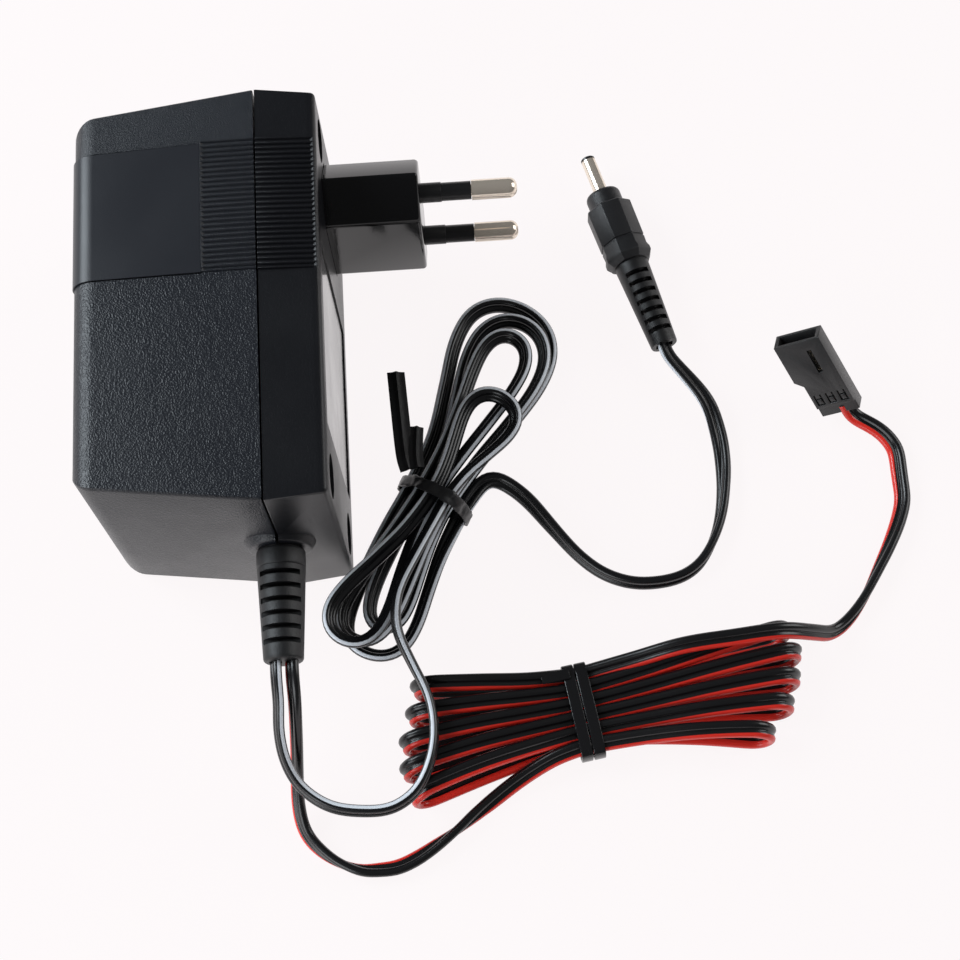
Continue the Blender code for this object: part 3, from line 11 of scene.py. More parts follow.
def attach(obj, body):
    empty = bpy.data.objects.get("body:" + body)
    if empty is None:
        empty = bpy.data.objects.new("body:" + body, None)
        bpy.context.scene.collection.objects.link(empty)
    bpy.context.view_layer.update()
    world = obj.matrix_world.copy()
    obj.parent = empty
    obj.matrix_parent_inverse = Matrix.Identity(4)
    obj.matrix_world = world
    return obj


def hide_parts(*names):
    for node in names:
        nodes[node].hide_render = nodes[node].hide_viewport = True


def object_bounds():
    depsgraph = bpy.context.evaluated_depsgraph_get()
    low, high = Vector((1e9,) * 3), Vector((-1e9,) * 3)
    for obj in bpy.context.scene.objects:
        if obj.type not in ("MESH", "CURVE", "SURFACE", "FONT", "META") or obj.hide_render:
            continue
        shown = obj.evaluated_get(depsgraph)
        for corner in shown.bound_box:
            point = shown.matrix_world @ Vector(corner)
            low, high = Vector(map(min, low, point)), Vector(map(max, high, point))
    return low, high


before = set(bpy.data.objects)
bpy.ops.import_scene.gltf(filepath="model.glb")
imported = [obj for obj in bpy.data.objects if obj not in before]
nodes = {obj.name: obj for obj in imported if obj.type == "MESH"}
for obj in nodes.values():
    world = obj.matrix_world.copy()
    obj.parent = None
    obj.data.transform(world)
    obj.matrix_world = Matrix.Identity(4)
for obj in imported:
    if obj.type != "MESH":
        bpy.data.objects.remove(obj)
cad_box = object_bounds()
bpy.context.scene.view_settings.view_transform = "Standard"


# Rear shell: the deep half of the case, moulded in black plastic with draft towards its rounded back. The low part
# is coarsely grained and the ribs of the grip run to the parting line. It carries the screw posts and core rails.
# Case pieces are modelled in the case's own frame: X out of the parting plane along the plug, Y up the case.
case_place = Vector((-0.0071, 0.0005, 0.0269))
rear_deep, case_tall, case_wide, rear_draft, wall = 0.0348, 0.04125, 0.0269, 0.0045, 0.0022
part_gap, back_round, belt_proud = 0.00015, 0.0045, 0.00028
belt_low, belt_high, rib_count, rib_deep, grip_back = 0.0037, 0.0306, 26, 0.00042, -0.0102
screw_tall, screw_side = 0.0343, 0.0173
rail_low, rail_high, relief_bore, bore_radius = 0.0165, 0.0205, 0.0043, 0.0018
screw_spots = [(y, z) for y in (screw_tall, -screw_tall) for z in (screw_side, -screw_side)]


def named(name):
    """Names the shape just added and fixes it where it stands."""
    bpy.ops.object.transform_apply()
    bpy.context.object.name = name
    return bpy.context.object


def box(name, low, high):
    low, high = Vector(low), Vector(high)
    bpy.ops.mesh.primitive_cube_add(size=1.0, location=(low + high) / 2, scale=high - low)
    return named(name)


def rod(name, radius, low, high, sides=32, end_radius=None):
    low, high = Vector(low), Vector(high)
    bpy.ops.mesh.primitive_cone_add(
        vertices=sides,
        radius1=radius,
        radius2=radius if end_radius is None else end_radius,
        depth=(high - low).length,
        location=(low + high) / 2,
        rotation=(high - low).to_track_quat("Z", "Y").to_euler(),
    )
    return named(name)


def only(obj):
    """Makes the piece the only one picked."""
    bpy.ops.object.select_all(action="DESELECT")
    bpy.context.view_layer.objects.active = obj
    obj.select_set(True)


def open_piece(obj):
    only(obj)
    bpy.ops.object.mode_set(mode="EDIT")


def close_piece():
    bpy.ops.object.mode_set(mode="OBJECT")


def pick_side(obj, *way):
    """Opens the piece and picks the faces that look the given way."""
    open_piece(obj)
    bpy.ops.mesh.select_mode(type="FACE")
    bpy.ops.mesh.select_all(action="DESELECT")
    mesh = bmesh.from_edit_mesh(obj.data)
    for face in mesh.faces:
        face.select_set(face.normal.dot(Vector(way)) > 0.9)
    bmesh.update_edit_mesh(obj.data)


def pick_edges(obj, test):
    """Opens the piece and picks the edges whose two ends pass the test."""
    open_piece(obj)
    bpy.ops.mesh.select_mode(type="EDGE")
    bpy.ops.mesh.select_all(action="DESELECT")
    mesh = bmesh.from_edit_mesh(obj.data)
    for edge in mesh.edges:
        edge.select_set(bool(test(edge.verts[0].co, edge.verts[1].co)))
    bmesh.update_edit_mesh(obj.data)


def round_edges(obj, radius, segments, test):
    pick_edges(obj, test)
    bpy.ops.mesh.bevel(offset=radius, offset_type="OFFSET", segments=segments, profile=0.5, affect="EDGES")
    close_piece()


def face_outward():
    """Turns every face of the open piece outwards and closes it."""
    bpy.ops.mesh.select_all(action="SELECT")
    bpy.ops.mesh.normals_make_consistent(inside=False)
    close_piece()


def resize(centre, x, y, z):
    bpy.ops.transform.resize(value=(x, y, z), center_override=centre)


def draw_out(x, y, z):
    bpy.ops.mesh.extrude_region_move(TRANSFORM_OT_translate={"value": (x, y, z)})


def apply_modifier(obj, modifier):
    only(obj)
    bpy.ops.object.modifier_apply(modifier=modifier.name)


def combine(obj, tool, operation):
    """Cuts the tool out of the piece, or joins it on, and clears the tool away."""
    modifier = obj.modifiers.new("combine", "BOOLEAN")
    modifier.operation, modifier.solver, modifier.object = operation, "MANIFOLD", tool
    apply_modifier(obj, modifier)
    bpy.data.objects.remove(tool, do_unlink=True)


def cut(obj, tool):
    combine(obj, tool, "DIFFERENCE")


def join(obj, tool):
    combine(obj, tool, "UNION")


def duplicate(obj, name, offset=(0.0, 0.0, 0.0), flip=None):
    """A copy with its own mesh, moved, and mirrored across the origin on one axis where flip names it."""
    only(obj)
    bpy.ops.object.duplicate()
    copy = bpy.context.object
    copy.name = name
    if flip is not None:
        copy.scale["XYZ".index(flip)] = -1.0
    copy.location = offset
    bpy.ops.object.transform_apply()
    if flip is not None:
        open_piece(copy)
        face_outward()
    return copy


def settle(obj, place, material, slot, *replaced, angle=32):
    """Shades the piece, puts it where it belongs, gives it its finish and hides the CAD solids it stands for."""
    only(obj)
    obj.matrix_world = place if isinstance(place, Matrix) else Matrix.Translation(place)
    bpy.ops.object.transform_apply()
    bpy.ops.object.shade_smooth_by_angle(angle=math.radians(angle))
    obj.data.materials.clear()
    obj.data.materials.append(material)
    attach(obj, "root")
    if replaced:
        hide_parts(*replaced)


def grip_comb(name, x_low, x_high, surface, blind, lean):
    """The grooves between the ribs of one wide face, narrower at the floor, sloping up to their blind end."""
    pitch = (belt_high - belt_low) / rib_count
    low, high = belt_low + 0.08 * pitch, belt_low + 0.92 * pitch
    comb = box(name, (x_low, low, surface - rib_deep), (x_high, high, surface + 0.00006))
    pick_side(comb, 0, 0, -1)
    resize((x_low + x_high - blind, (low + high) / 2, 0.0), 0.955, 0.36, 1.0)
    close_piece()
    pivot = Matrix.Translation((0.0, 0.0, surface))
    comb.matrix_world = pivot @ Matrix.Rotation(lean, 4, "Y") @ pivot.inverted()
    bpy.ops.object.transform_apply()
    array = comb.modifiers.new("ribs", "ARRAY")
    array.count, array.use_relative_offset, array.use_constant_offset = rib_count, False, True
    array.constant_offset_displace = (0.0, pitch, 0.0)
    apply_modifier(comb, array)
    return comb


def cut_grip(obj, comb):
    """Cuts the same grooves in the upper and the under face."""
    under_comb = duplicate(comb, "under_comb", flip="Z")
    cut(obj, comb)
    cut(obj, under_comb)


rear_shell = box("rear_shell_moulding", (-rear_deep, -case_tall, -case_wide), (-part_gap, case_tall, case_wide))
pick_side(rear_shell, -1, 0, 0)
resize((-rear_deep, 0.0, 0.0), 1.0, 1 - rear_draft / case_tall, 1.0)
close_piece()
pick_side(rear_shell, 1, 0, 0)
bpy.ops.mesh.inset(thickness=wall)
draw_out(-rear_deep + wall + part_gap, 0.0, 0.0)
inner_tall = case_tall - rear_draft * (rear_deep - wall) / rear_deep - wall
resize((0.0, 0.0, 0.0), 1.0, inner_tall / (case_tall - wall), 1.0)
close_piece()
round_edges(rear_shell, back_round, 9, lambda a, b: max(a.x, b.x) < -rear_deep + 0.0001)
round_edges(
    rear_shell,
    0.0010,
    3,
    lambda a, b: abs(a.x - b.x) > 1e-6
    and min(abs(a.y), abs(b.y)) > 0.030
    and (abs(a.z + b.z) / 2 > 0.0248 or (a.x + b.x) / 2 < -rear_deep + wall),
)


def at_rim(a, b):
    """Whether an edge lies along the outer rim of the parting plane."""
    near = max(abs(a.x), abs(b.x)) < 0.0002
    return near and min(max(abs(v.y) / case_tall, abs(v.z) / case_wide) for v in (a, b)) > 0.97


round_edges(rear_shell, 0.00022, 2, at_rim)
for y, z in screw_spots:
    join(rear_shell, rod("post", 0.0032, (-0.0200, y, z), (-0.0003, y, z), 24))
    side = math.copysign(case_tall - rear_draft * 0.6 - wall / 2, y)
    join(rear_shell, box("post_rib", (-0.0197, min(y, side), z - 0.0010), (-0.0100, max(y, side), z + 0.0010)))
    cut(rear_shell, rod("bore", bore_radius, (-0.0067, y, z), (0.0022, y, z), 20))


def both_sides(low, high):
    return (low, high), (-high, -low)


for (low, high), (ledge_low, ledge_high) in zip(both_sides(rail_low, rail_high), both_sides(0.0200, 0.0258)):
    join(rear_shell, box("core_rail", (-0.0337, -0.0120, low), (-0.0243, 0.0060, high)))
    join(rear_shell, box("board_ledge", (-0.0220, -0.0296, ledge_low), (-0.0022, -0.0281, ledge_high)))
boss = rod("boss", 0.0075, (0.0, -case_tall + wall, 0.0), (0.0, -case_tall - 0.0010, 0.0), 48, end_radius=0.0060)
round_edges(boss, 0.0004, 3, lambda a, b: max(a.y, b.y) < -case_tall - 0.0009)


def add_boss(shell, low, high):
    """Joins half of the boss on to a shell, less what lies between low and high, and bores it for the leads."""
    half = duplicate(boss, "half_boss")
    cut(half, box("other_half", (low, -0.1, -0.1), (high, 0.1, 0.1)))
    join(shell, half)
    cut(shell, rod("relief_hole", relief_bore, (0.0, -0.0360, 0.0), (0.0, -0.0460, 0.0), 40))


add_boss(rear_shell, -0.0003, 0.1)
cut_grip(rear_shell, grip_comb("rear_comb", grip_back, 0.0022, case_wide, grip_back, 0.0))
# The film's edges run down a little towards the back
film_low, film_high = (belt_low - 0.0001, belt_low - 0.0005), (belt_high - 0.0006, belt_high - 0.0017)
film_edge, channel_deep, film_thick, clear = -0.0103, 0.0007, 0.0006, 0.002


def film_band(name, x_low, x_high, half, spare):
    """A block round the rear shell whose upper and lower edges follow the film's."""
    band = box(name, (x_low, film_low[0], -half), (x_high, film_high[0], half))
    for vert in band.data.vertices:
        low, high = (film_low[1], film_high[1]) if vert.co.x < (x_low + x_high) / 2 else (film_low[0], film_high[0])
        vert.co.y = low - spare if vert.co.y < (belt_low + belt_high) / 2 else high + spare
    return band


def round_back(obj, radius):
    """Rounds the two upright corners of a block behind."""
    round_edges(obj, radius, 9, lambda a, b: max(a.x, b.x) < -0.03 and abs(a.y - b.y) > 0.01)


def film_core(name, deep):
    """The block that a band this deep goes round."""
    return box(name, (-rear_deep + deep, -0.01, -case_wide + deep), (0.0, 0.05, case_wide - deep))


channel = film_band("film_channel", -rear_deep - clear, film_edge, case_wide + clear, 0.0002)
core = film_core("channel_core", channel_deep)
round_back(core, 0.0038)
cut(channel, core)
cut(rear_shell, channel)
# The belt of grip and film stands a little proud of the rest
for edge, ends in ((-0.06, film_low), (0.06, film_high)):
    low, high = min(edge, belt_low), max(edge, belt_high)
    skin = box("skin", (-rear_deep - clear, low, -case_wide - clear), (film_edge, high, case_wide + clear))
    for vert in skin.data.vertices:
        if abs(vert.co.y) < 0.05:
            vert.co.y = ends[1] if vert.co.x < -0.02 else ends[0]
    low, high = min(edge, belt_high), max(edge, belt_low)
    grip_skin = box("grip_skin", (film_edge - 0.0001, low, -case_wide - clear), (clear, high, case_wide + clear))
    for vert in grip_skin.data.vertices:
        if abs(vert.co.y) < 0.05:
            vert.co.y = belt_low if edge < 0 else belt_high
    join(skin, grip_skin)
    slim = box("slim", (-rear_deep + belt_proud, -0.1, -case_wide + belt_proud), (0.1, 0.1, case_wide - belt_proud))
    round_back(slim, back_round)
    cut(skin, slim)
    cut(rear_shell, skin)


# What the moulded finishes share: a grain in the plastic, as a height and a slow drift of the gloss, for each
# material to scale to its own piece.
grain = bpy.data.node_groups.new("moulded_grain", "ShaderNodeTree")
grain.interface.new_socket("Coarse", in_out="INPUT", socket_type="NodeSocketFloat").default_value = 900.0
grain.interface.new_socket("Fine", in_out="INPUT", socket_type="NodeSocketFloat").default_value = 4000.0
grain.interface.new_socket("Share", in_out="INPUT", socket_type="NodeSocketFloat").default_value = 0.5
grain.interface.new_socket("Height", in_out="OUTPUT", socket_type="NodeSocketFloat")
grain.interface.new_socket("Drift", in_out="OUTPUT", socket_type="NodeSocketFloat")
inward, outward = grain.nodes.new("NodeGroupInput"), grain.nodes.new("NodeGroupOutput")


def put(tree, kind, *numbered, **given):
    """A new shader node: small-letter names set its options, the rest give its inputs a value or a feed."""
    node = tree.nodes.new(kind)
    for option in [name for name in given if name.islower()]:
        setattr(node, option, given.pop(option))
    for key, value in [*enumerate(numbered), *given.items()]:
        if isinstance(value, bpy.types.NodeSocket):
            tree.links.new(value, node.inputs[key])
        elif value is not None:
            node.inputs[key].default_value = value
    return node


where = put(grain, "ShaderNodeTexCoord").outputs["Object"]
warp = put(grain, "ShaderNodeTexNoise", Vector=where, Scale=700.0, Detail=1.0)
reach = (0.0009, 0.0009, 0.0009)
sway = put(grain, "ShaderNodeVectorMath", warp.outputs["Color"], reach, where, operation="MULTIPLY_ADD")
cells = put(grain, "ShaderNodeTexVoronoi", feature="SMOOTH_F1", Vector=sway.outputs[0], Smoothness=0.6)
grain.links.new(inward.outputs["Coarse"], cells.inputs["Scale"])
speck = put(grain, "ShaderNodeTexNoise", Vector=where, Scale=inward.outputs["Fine"], Detail=2.0)
height = put(grain, "ShaderNodeMix", inward.outputs["Share"], None, speck.outputs[0], cells.outputs["Distance"])
grain.links.new(height.outputs[0], outward.inputs["Height"])
slow = put(grain, "ShaderNodeTexNoise", Vector=where, Scale=45.0, Detail=4.0)
grain.links.new(slow.outputs[0], outward.inputs["Drift"])


def blank(name):
    """A new material, with its node tree and its main shader."""
    material = bpy.data.materials.new(name)
    material.use_nodes = True
    return material, material.node_tree, material.node_tree.nodes["Principled BSDF"]


def moulded(name, colour, gloss_low, gloss_high, coarse, fine, share, depth, specular=0.5, metal=0.0):
    """A moulded finish: one colour, gloss that drifts between two roughnesses, and the grain as a bump."""
    material, tree, shader = blank(name)
    shader.inputs["Base Color"].default_value = (*colour, 1.0)
    shader.inputs["Specular IOR Level"].default_value = specular
    shader.inputs["Metallic"].default_value = metal
    texture = put(tree, "ShaderNodeGroup", node_tree=grain, name="Grain", Coarse=coarse, Fine=fine, Share=share)
    gloss = put(tree, "ShaderNodeMapRange", texture.outputs["Drift"], 0.35, 0.65, gloss_low, gloss_high)
    tree.links.new(gloss.outputs["Result"], shader.inputs["Roughness"])
    bump = put(tree, "ShaderNodeBump", Strength=1.0, Distance=depth, Height=texture.outputs["Height"])
    tree.links.new(bump.outputs["Normal"], shader.inputs["Normal"])
    return material


rear_black = moulded("rear_shell_black", (0.0100, 0.0118, 0.0165), 0.32, 0.40, 2900.0, 6500.0, 0.85, 0.00010, 0.45)
tree = rear_black.node_tree
split = put(tree, "ShaderNodeSeparateXYZ", put(tree, "ShaderNodeTexCoord").outputs["Object"])
# The grain is coarse below the belt and fine above it
low_part = put(tree, "ShaderNodeMapRange", split.outputs["Y"], 0.0040, 0.0050, 0.85, 0.20)
tree.links.new(low_part.outputs["Result"], tree.nodes["Grain"].inputs["Share"])
settle(rear_shell, case_place, rear_black, "case_black", "rear_shell")


# Front cover: the shallow half of the case, satin black, with the ribs carried on across it. It holds the plug
# block, has a sunk field for the label and four wells for the screws that draw it on to the rear shell.
front_deep, front_draft, plug_up = 0.0116, 0.0010, 0.0258
front_cover = box("front_cover_moulding", (part_gap, -case_tall, -case_wide), (front_deep, case_tall, case_wide))
pick_side(front_cover, 1, 0, 0)
resize((front_deep, 0.0, 0.0), 1.0, 1 - front_draft / case_tall, 1 - front_draft / case_wide)
close_piece()
pick_side(front_cover, -1, 0, 0)
bpy.ops.mesh.inset(thickness=wall)
draw_out(front_deep - wall - part_gap, 0.0, 0.0)
taper = 0.8 * front_draft
resize((0.0, 0.0, 0.0), 1.0, 1 - taper / (case_tall - wall), 1 - taper / (case_wide - wall))
close_piece()
round_edges(
    front_cover,
    0.0009,
    4,
    lambda a, b: max(a.x, b.x) > front_deep - 0.0001 and (abs(a.x - b.x) < 1e-6 or min(a.x, b.x) < 0.001),
)
round_edges(front_cover, 0.00022, 2, at_rim)
for y, z in screw_spots:
    join(front_cover, rod("post", 0.0056, (0.0003, y, z), (front_deep - wall / 2, y, z), 32))
    cut(front_cover, rod("well", 0.0042, (front_deep - 0.0040, y, z), (front_deep + 0.0022, y, z), 40))
    cut(front_cover, rod("bore", bore_radius, (-0.0022, y, z), (front_deep, y, z), 20))
for low, high in both_sides(rail_low, rail_high):
    join(front_cover, box("core_clamp", (-0.0097, -0.0120, low), (front_deep - wall / 2, 0.0060, high)))
add_boss(front_cover, -0.1, 0.0003)
bpy.data.objects.remove(boss, do_unlink=True)


def plug_section(name, x_low, x_high, grow):
    """A bar along X with the plug's six-sided section: two flats joined by 45 degree sides."""
    tall, flat, wide = 0.00685 + grow, 0.0108 + grow, 0.01765 + grow
    bar = box(name, (x_low, plug_up - tall, -flat), (x_high, plug_up + tall, flat))
    for side in (1, -1):
        pick_side(bar, 0, 0, side)
        draw_out(0.0, 0.0, side * (wide - flat))
        resize((0.0, plug_up, 0.0), 1.0, 0.0, 1.0)
        bpy.ops.mesh.select_all(action="SELECT")
        bpy.ops.mesh.remove_doubles(threshold=0.00001)
        face_outward()
    return bar


for low, high in ((-0.06, belt_low), (belt_high, 0.06)):
    skin = box("skin", (-clear, low, -case_wide - clear), (front_deep - 0.0012, high, case_wide + clear))
    slim = box("slim", (-0.004, -0.1, -case_wide + belt_proud), (front_deep, 0.1, case_wide - belt_proud))
    pick_side(slim, 1, 0, 0)
    resize((front_deep, 0.0, 0.0), 1.0, 1.0, 1 - front_draft / case_wide)
    close_piece()
    cut(skin, slim)
    cut(front_cover, skin)
cut(front_cover, plug_section("plug_opening", front_deep - 2 * wall, front_deep + wall, 0.0003))
pocket = box("label_pocket", (front_deep - 0.0009, -0.0256, -0.0221), (front_deep + wall, 0.0110, 0.0221))
round_edges(pocket, 0.0008, 4, lambda a, b: abs(a.x - b.x) > 0.001)
cut(front_cover, pocket)
grip_end = front_deep - 0.0005
cut_grip(front_cover, grip_comb("front_comb", -0.0022, grip_end, case_wide, grip_end, front_draft / front_deep))
front_black = moulded("front_cover_black", (0.0060, 0.0064, 0.0084), 0.30, 0.38, 3000.0, 7500.0, 0.25, 0.00005, 0.38)
settle(front_cover, case_place, front_black, "case_black", "front_cover")


# Wrap film: a smooth plain band of black plastic, laid in a shallow channel round three sides of the rear shell,
# behind the grip.
wrap = film_band("wrap_film", -rear_deep, film_edge - 0.00005, case_wide, 0.0)
round_back(wrap, back_round)
hollow = film_core("film_inside", film_thick)
round_back(hollow, 0.0039)
cut(wrap, hollow)
round_edges(
    wrap,
    0.00010,
    2,
    lambda a, b: abs(a.y - b.y) < 1e-6
    and (abs(a.z) > case_wide - 0.0003 or a.x < -rear_deep + 0.0048)
    and (abs(b.z) > case_wide - 0.0003 or b.x < -rear_deep + 0.0048)
    and abs(a.x - b.x) + abs(a.z - b.z) > 1e-6,
)
film_black = moulded("wrap_film_black", (0.0170, 0.0185, 0.0235), 0.30, 0.38, 1200.0, 3000.0, 0.0, 0.00001, 0.42)
settle(wrap, case_place, film_black, "film_black", "wrap_label")


# Label: a thin plain film, dark and glossy, stuck in the sunk field on the wall side of the front cover, a little
# smaller than the field.
label = box("plain_label", (front_deep - 0.0006, -0.0250, -0.0215), (front_deep - 0.0003, 0.0104, 0.0215))
round_edges(label, 0.0012, 5, lambda a, b: abs(a.x - b.x) > 0.0001)
label_dark = moulded("label_dark", (0.030, 0.031, 0.034), 0.14, 0.22, 1200.0, 2500.0, 0.0, 0.000006)
settle(label, case_place, label_dark, "label_grey", "rating_label")


# Case screws: zinc-plated steel, slotted pan heads, driven down the wells into the posts of the rear shell.
screw = rod("screw_head", 0.0028, (0.0079, 0.0, 0.0), (0.0099, 0.0, 0.0), 36)
round_edges(screw, 0.0008, 5, lambda a, b: min(a.x, b.x) > 0.0098)
join(screw, rod("shank", 0.0015, (-0.0061, 0.0, 0.0), (0.0082, 0.0, 0.0), 24))
cut(screw, box("slot", (0.0089, -0.00045, -0.0056), (0.0119, 0.00045, 0.0056)))
zinc = moulded("zinc_plate", (0.46, 0.46, 0.47), 0.28, 0.42, 2600.0, 5000.0, 0.3, 0.00001, metal=1.0)
for number, (y, z) in enumerate(screw_spots, 1):
    driven = duplicate(screw, f"driven_screw_{number}", offset=(0.0, y, z))
    settle(driven, case_place, zinc, "steel", f"case_screw_{number}")
bpy.data.objects.remove(screw, do_unlink=True)


# Plug block: the hard glossy black body of the mains plug, six-sided with softened edges, held behind the front
# wall by a flange. The pins pass through two bores.
pin_side = 0.0093
plug = plug_section("plug_block", 0.0071, 0.0300, 0.0)
round_edges(plug, 0.0007, 4, lambda a, b: max(a.x, b.x) > 0.02)
join(plug, box("flange", (0.0071, 0.01645, -0.0100), (0.0091, 0.03515, 0.0100)))
for z in (pin_side, -pin_side):
    cut(plug, rod("bore", 0.0015, (0.0, plug_up, z), (0.0320, plug_up, z), 24))
    cut(plug, rod("seat", 0.0021, (0.0277, plug_up, z), (0.0320, plug_up, z), 32))
plug_gloss = moulded("plug_gloss_black", (0.0045, 0.0045, 0.0052), 0.08, 0.15, 1200.0, 2500.0, 0.0, 0.000008, 0.36)
settle(plug, case_place, plug_gloss, "plug_black", "plug_body")


# Pins: turned brass, bright nickel plate, with a domed tip. A thinner rod runs back through sleeve and block to the
# solder tail. Each sleeve is moulded on in soft black plastic, thicker at its root.
nickel = moulded("bright_nickel", (0.92, 0.81, 0.69), 0.16, 0.24, 2600.0, 5200.0, 0.0, 0.000005, metal=0.75)
sleeve_black = moulded("sleeve_black", (0.0070, 0.0070, 0.0080), 0.30, 0.40, 2600.0, 5200.0, 0.1, 0.00003)
for name, z in (("near", pin_side), ("far", -pin_side)):
    pin = rod("pin_bar", 0.0020, (0.0401, plug_up, z), (0.0490, plug_up, z), 40)
    round_edges(pin, 0.0016, 8, lambda a, b: min(a.x, b.x) > 0.0485)
    join(pin, rod("tail", 0.0012, (0.0031, plug_up, z), (0.0405, plug_up, z), 24))
    settle(pin, case_place, nickel, "nickel", f"pin_{name}")
    sleeve = rod("pin_sleeve", 0.00195, (0.0280, plug_up, z), (0.0342, plug_up, z), 40)
    round_edges(sleeve, 0.00012, 2, lambda a, b: min(a.x, b.x) > 0.0341)
    join(sleeve, rod("thin", 0.0018, (0.0300, plug_up, z), (0.0400, plug_up, z), 40))
    cut(sleeve, rod("hole", 0.0015, (0.0200, plug_up, z), (0.0500, plug_up, z), 24))
    settle(sleeve, case_place, sleeve_black, "soft_black", f"pin_sleeve_{name}")


# Inside the case: an E-I transformer wound in enamelled copper on a nylon bobbin, a phenolic board with diodes and
# resistors, and the wires between them. These keep their CAD solids and get finishes of their own.
def dress(material, *names):
    for name in names:
        nodes[name].data.materials.clear()
        nodes[name].data.materials.append(material)


for names, *finish in (
    (["transformer_core"], "laminated_iron", (0.20, 0.20, 0.21), 0.45, 0.60, 1500.0, 6000.0, 0.0, 0.00003, 0.5, 1.0),
    (["transformer_bobbin"], "bobbin_nylon", (0.72, 0.70, 0.62), 0.38, 0.50, 1500.0, 4000.0, 0.1, 0.00002),
    (
        ["primary_winding", "secondary_winding"],
        *("enamelled_copper", (0.60, 0.22, 0.09), 0.22, 0.34, 3000.0, 7000.0, 0.6, 0.00008, 0.5, 1.0),
    ),
    (["primary_tape"], "winding_tape", (0.74, 0.52, 0.05), 0.16, 0.26, 1500.0, 2500.0, 0.0, 0.00002),
    (["circuit_board"], "phenolic_board", (0.30, 0.17, 0.06), 0.45, 0.58, 1500.0, 5000.0, 0.0, 0.00002),
    (["diode_1", "diode_2"], "diode_epoxy", (0.014, 0.014, 0.016), 0.32, 0.42, 1500.0, 6000.0, 0.0, 0.00003),
    (["resistor_1", "resistor_2"], "resistor_coat", (0.50, 0.44, 0.32), 0.42, 0.54, 1500.0, 5000.0, 0.0, 0.00003),
    (
        ["secondary_wire_1", "secondary_wire_2"],
        *("wire_red", (0.58, 0.025, 0.018), 0.24, 0.34, 1500.0, 4000.0, 0.0, 0.00001),
    ),
):
    dress(moulded(*finish), *names)
dress(zinc, "thermal_fuse")
wire_black = moulded("wire_black", (0.012, 0.012, 0.014), 0.24, 0.34, 1500.0, 4000.0, 0.0, 0.00001)
dress(wire_black, "mains_wire_near", "mains_wire_far", "lead_a_tail", "lead_b_tail")


# Strain relief: soft black PVC moulded on to both leads, a collar and a slotted taper outside the case and a flange
# inside that holds it in the hole between the two shells.
relief_start, relief_end, relief_collar = -0.04255, -0.06395, 0.0035
relief_neck = relief_start - relief_collar
relief = rod("relief_sleeve", 0.0046, (0.0, relief_neck, 0.0), (0.0, relief_end, 0.0), 48, end_radius=0.00375)
round_edges(relief, 0.0006, 4, lambda a, b: max(a.y, b.y) < relief_end + 0.0001)
for number in range(6):
    y = relief_start - 0.0050 - 0.0026 * number
    for low, high in both_sides(0.0018, 0.0080):
        slot = box("slot", (-0.00377, y - 0.0005, low), (0.00377, y + 0.0005, high))
        round_edges(slot, 0.00030, 3, lambda a, b: abs(a.x - b.x) > 0.001 and max(abs(a.z), abs(b.z)) < 0.0020)
        cut(relief, slot)
collar = rod("collar", 0.00465, (0.0, relief_start, 0.0), (0.0, relief_neck, 0.0), 48)
round_edges(collar, 0.0004, 3, lambda a, b: abs(a.y - b.y) < 0.0001)
join(relief, collar)
join(relief, rod("neck", 0.0040, (0.0, relief_start - 0.0004, 0.0), (0.0, -0.0370, 0.0), 40))
join(relief, rod("flange", 0.0065, (0.0, -0.0387, 0.0), (0.0, -0.0367, 0.0), 48))
for x in (-0.0015, 0.0015):
    cut(relief, rod("lead_hole", 0.00122, (x, -0.0300, 0.0), (x, -0.0700, 0.0), 24))
relief_black = moulded("relief_black", (0.0090, 0.0090, 0.0100), 0.42, 0.54, 2200.0, 6500.0, 0.25, 0.00006)
settle(relief, case_place, relief_black, "soft_black", "strain_relief")


# Leads. Each is a flat twin flex in soft PVC, two round cores moulded side by side with a thin web between.
# They leave the strain relief together, and each is wound into a hank, tied, and run out to its own plug.


def ease(share):
    share = min(max(share, 0.0), 1.0)
    return share * share * (3 - 2 * share)


def unit(rows):
    return rows / np.linalg.norm(rows, axis=1)[:, None]


def run_along(path):
    """How far along the path each of its points lies."""
    return np.r_[0.0, np.cumsum(np.linalg.norm(np.diff(path, axis=0), axis=1))]


def smooth_route(points, step):
    """Evenly spaced points on a smooth curve through the route's own points."""
    knots = np.array([tuple(point) for point in points])
    ends = np.vstack([2 * knots[0] - knots[1], knots, 2 * knots[-1] - knots[-2]])
    dense = []
    for a, b, c, d in zip(ends, ends[1:], ends[2:], ends[3:]):
        for t in np.linspace(0.0, 1.0, 24, endpoint=False):
            bend = (2 * a - 5 * b + 4 * c - d) * t**2 + (3 * b - a - 3 * c + d) * t**3
            dense.append(0.5 * (2 * b + (c - a) * t + bend))
    dense = np.array(dense + [knots[-1]])
    run = run_along(dense)
    even = np.linspace(0.0, run[-1], max(2, round(run[-1] / step) + 1))
    return np.stack([np.interp(even, run, dense[:, axis]) for axis in range(3)], axis=1)


def on_table(local, origin, turn):
    along, across, height = local
    x = origin[0] + along * math.cos(turn) - across * math.sin(turn)
    y = origin[1] + along * math.sin(turn) + across * math.cos(turn)
    return (x, y, height)


core_radius, core_side = 0.00087, 0.00084


